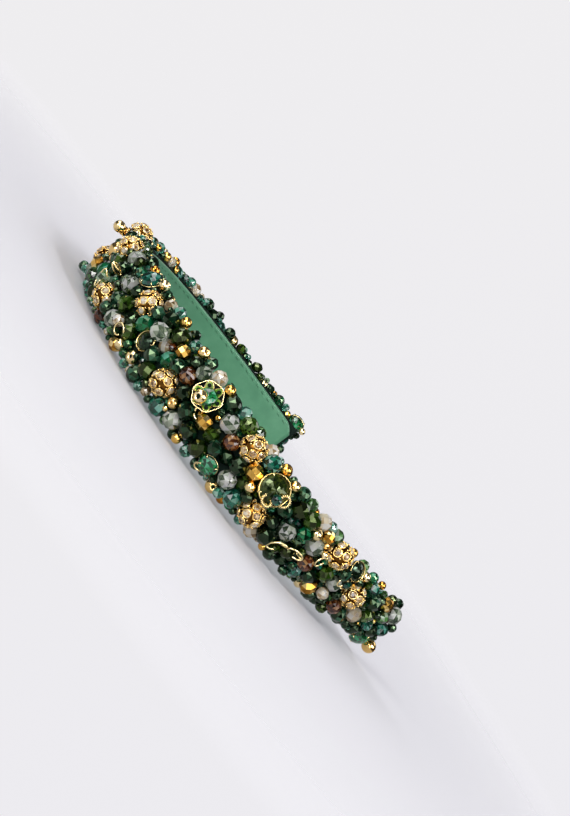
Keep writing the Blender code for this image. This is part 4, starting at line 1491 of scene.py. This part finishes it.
# Wire loops and beads on stalks. Sizes, and heights off the strip's inside, are in millimetres.
# Places are shares as for the beads, spin is in radians and sweep in degrees.
Loop = namedtuple("Loop", "length width along across height spin sweep upright", defaults=(False,))
Stalk = namedtuple("Stalk", "look size along across height")
LOOPS = [
    Loop(5.4, 2.4, -0.015, 0.16, 10.8, 2.0, 360, True),
    Loop(7.0, 5.2, -0.040, -0.40, 9.8, 1.7, 250),
    Loop(4.4, 4.0, 0.44, -0.98, 6.4, 0.4, 290),
    Loop(7.0, 4.2, 0.63, -0.64, 10.0, 1.05, 240),
    Loop(6.4, 3.0, 0.662, -0.34, 10.2, 0.15, 360),
    Loop(5.4, 5.0, 0.135, -0.62, 10.0, 0.5, 280),
    Loop(5.0, 4.4, 0.365, 0.02, 8.8, 2.2, 260),
    Loop(4.2, 3.4, 0.785, 0.20, 9.6, 0.9, 270),
    Loop(4.6, 2.6, 0.715, 0.12, 9.0, 1.2, 300),
]
STALKS = [
    Stalk("emerald", 4.0, -0.263, -1.02, 10.0),
    Stalk("aqua", 3.4, -0.215, -0.93, 8.6),
    Stalk("gold_ball", 4.4, -0.222, 0.65, 13.2),
    Stalk("amber", 3.6, -0.275, 0.60, 11.6),
]
STALK_WIRE = 0.16 * MM
LOOP_WIRE = 0.32 * MM
LOOP_STEPS = 28
LOOP_CURL = 0.45
LOOP_CURL_FROM = 0.7
LOOP_SWAY = 0.3 * MM
ROOT_DEPTH = 0.6 * MM
STALK_FLOOR_GAP = 0.1 * MM
STALK_ROOT_ALONG = 4 * MM
STALK_ROOT_SHARE = 0.6
STALK_ARCH = 0.4 * MM


def bed_root(distance, level):
    """Where a wire starts, a little inside the bed."""
    return lifted(distance, bed_top(distance, level) - ROOT_DEPTH, level)


def make_loops():
    """Curls of gold wire that lie over the beads on short stems, on each half."""
    for half in ("left", "right"):
        soup = Soup()
        for row, mirror in both_halves(LOOPS):
            distance = mirror * row.along * HALF_ARC
            if (distance >= 0) != (half == "left"):
                continue
            level = edge_level(distance, mirror * row.across)
            outward = Vector((*station(distance)[1], 0.0))
            centre = lifted(distance, row.height * MM, level)
            top = (outward + Vector((0.0, 0.0, LEAN * mirror * row.across))).normalized()
            ahead = Vector((0, 0, 1)).cross(outward)
            ahead = (ahead - top * ahead.dot(top)).normalized()
            over = top.cross(ahead)
            long_way = ahead * math.cos(row.spin) + over * math.sin(row.spin)
            short_way = top.cross(long_way)
            if row.upright:
                long_way, short_way = top, long_way
            closed = row.sweep == 360
            route = []
            for step in range(LOOP_STEPS):
                share = step / LOOP_STEPS if closed else step / (LOOP_STEPS - 1)
                turn = math.radians(row.sweep) * share
                curl = 1.0
                if not closed:
                    curl -= LOOP_CURL * max(share - LOOP_CURL_FROM, 0) / (1 - LOOP_CURL_FROM)
                route.append(
                    centre + long_way * (curl * row.length * MM / 2 * math.cos(turn))
                    + short_way * (curl * row.width * MM / 2 * math.sin(turn))
                    + ahead.cross(short_way) * LOOP_SWAY * math.sin(turn)
                )
            soup.add(tube_shape(route, LOOP_WIRE, closed=closed), None, 0.9)
            soup.add(tube_shape([route[0], bed_root(distance, level)], LOOP_WIRE), None, 0.7)
        soup.build(f"wire_loops_{half}", RIM_GOLD, "gold", [f"bead_field_{half}"])


def make_stalks():
    """Beads held off the field on short wires."""
    wires = Soup()
    for index, row in enumerate(STALKS, 1):
        distance = row.along * HALF_ARC
        radius = row.size * MM / 2
        level = max(edge_level(distance, row.across), FLOOR + radius + STALK_FLOOR_GAP)
        centre = lifted(distance, row.height * MM, level)
        root = bed_root(distance + STALK_ROOT_ALONG, level * STALK_ROOT_SHARE)
        middle = root.lerp(centre, 0.5) + Vector((0, 0, STALK_ARCH))
        wires.add(tube_shape([root, middle, centre], STALK_WIRE), None, 0.5)
        soup = Soup()
        soup.add(SHAPES.get(row.look, ROUND_CUT), stand(centre, (centre - root).normalized(), radius), 0.6)
        slot = SLOTS.get(row.look, "bead_mix")
        soup.build(f"stalk_bead_{index}", LOOKS[row.look], slot, ["bead_field_right"])
    wires.build("stalk_wires", RIM_GOLD, "gold", ["bead_field_right"])


MAKERS = {
    "pave_ball": make_pave,
    "clear_crystal": make_crystal,
    "emerald_cup": make_open,
    "dark_cup": make_cup,
    "teal_cup": make_open,
    "rivoli": make_cup,
    "flower": make_flower,
    "drilled_ball": make_drilled,
}


def make_stones(stones):
    rng = random.Random(3)
    counts = {}
    for spot in stones:
        counts[spot.kind] = counts.get(spot.kind, 0) + 1
        MAKERS[spot.kind](spot, f"{spot.kind}_{counts[spot.kind]:02d}", rng)


make_camera()
make_room()
make_ribbon()
make_stitches()
make_bed(1, "left")
make_bed(-1, "right")
STONE_SPOTS = placed_stones()
make_stones(STONE_SPOTS)
make_beads(all_beads(STONE_SPOTS))
make_loops()
make_stalks()
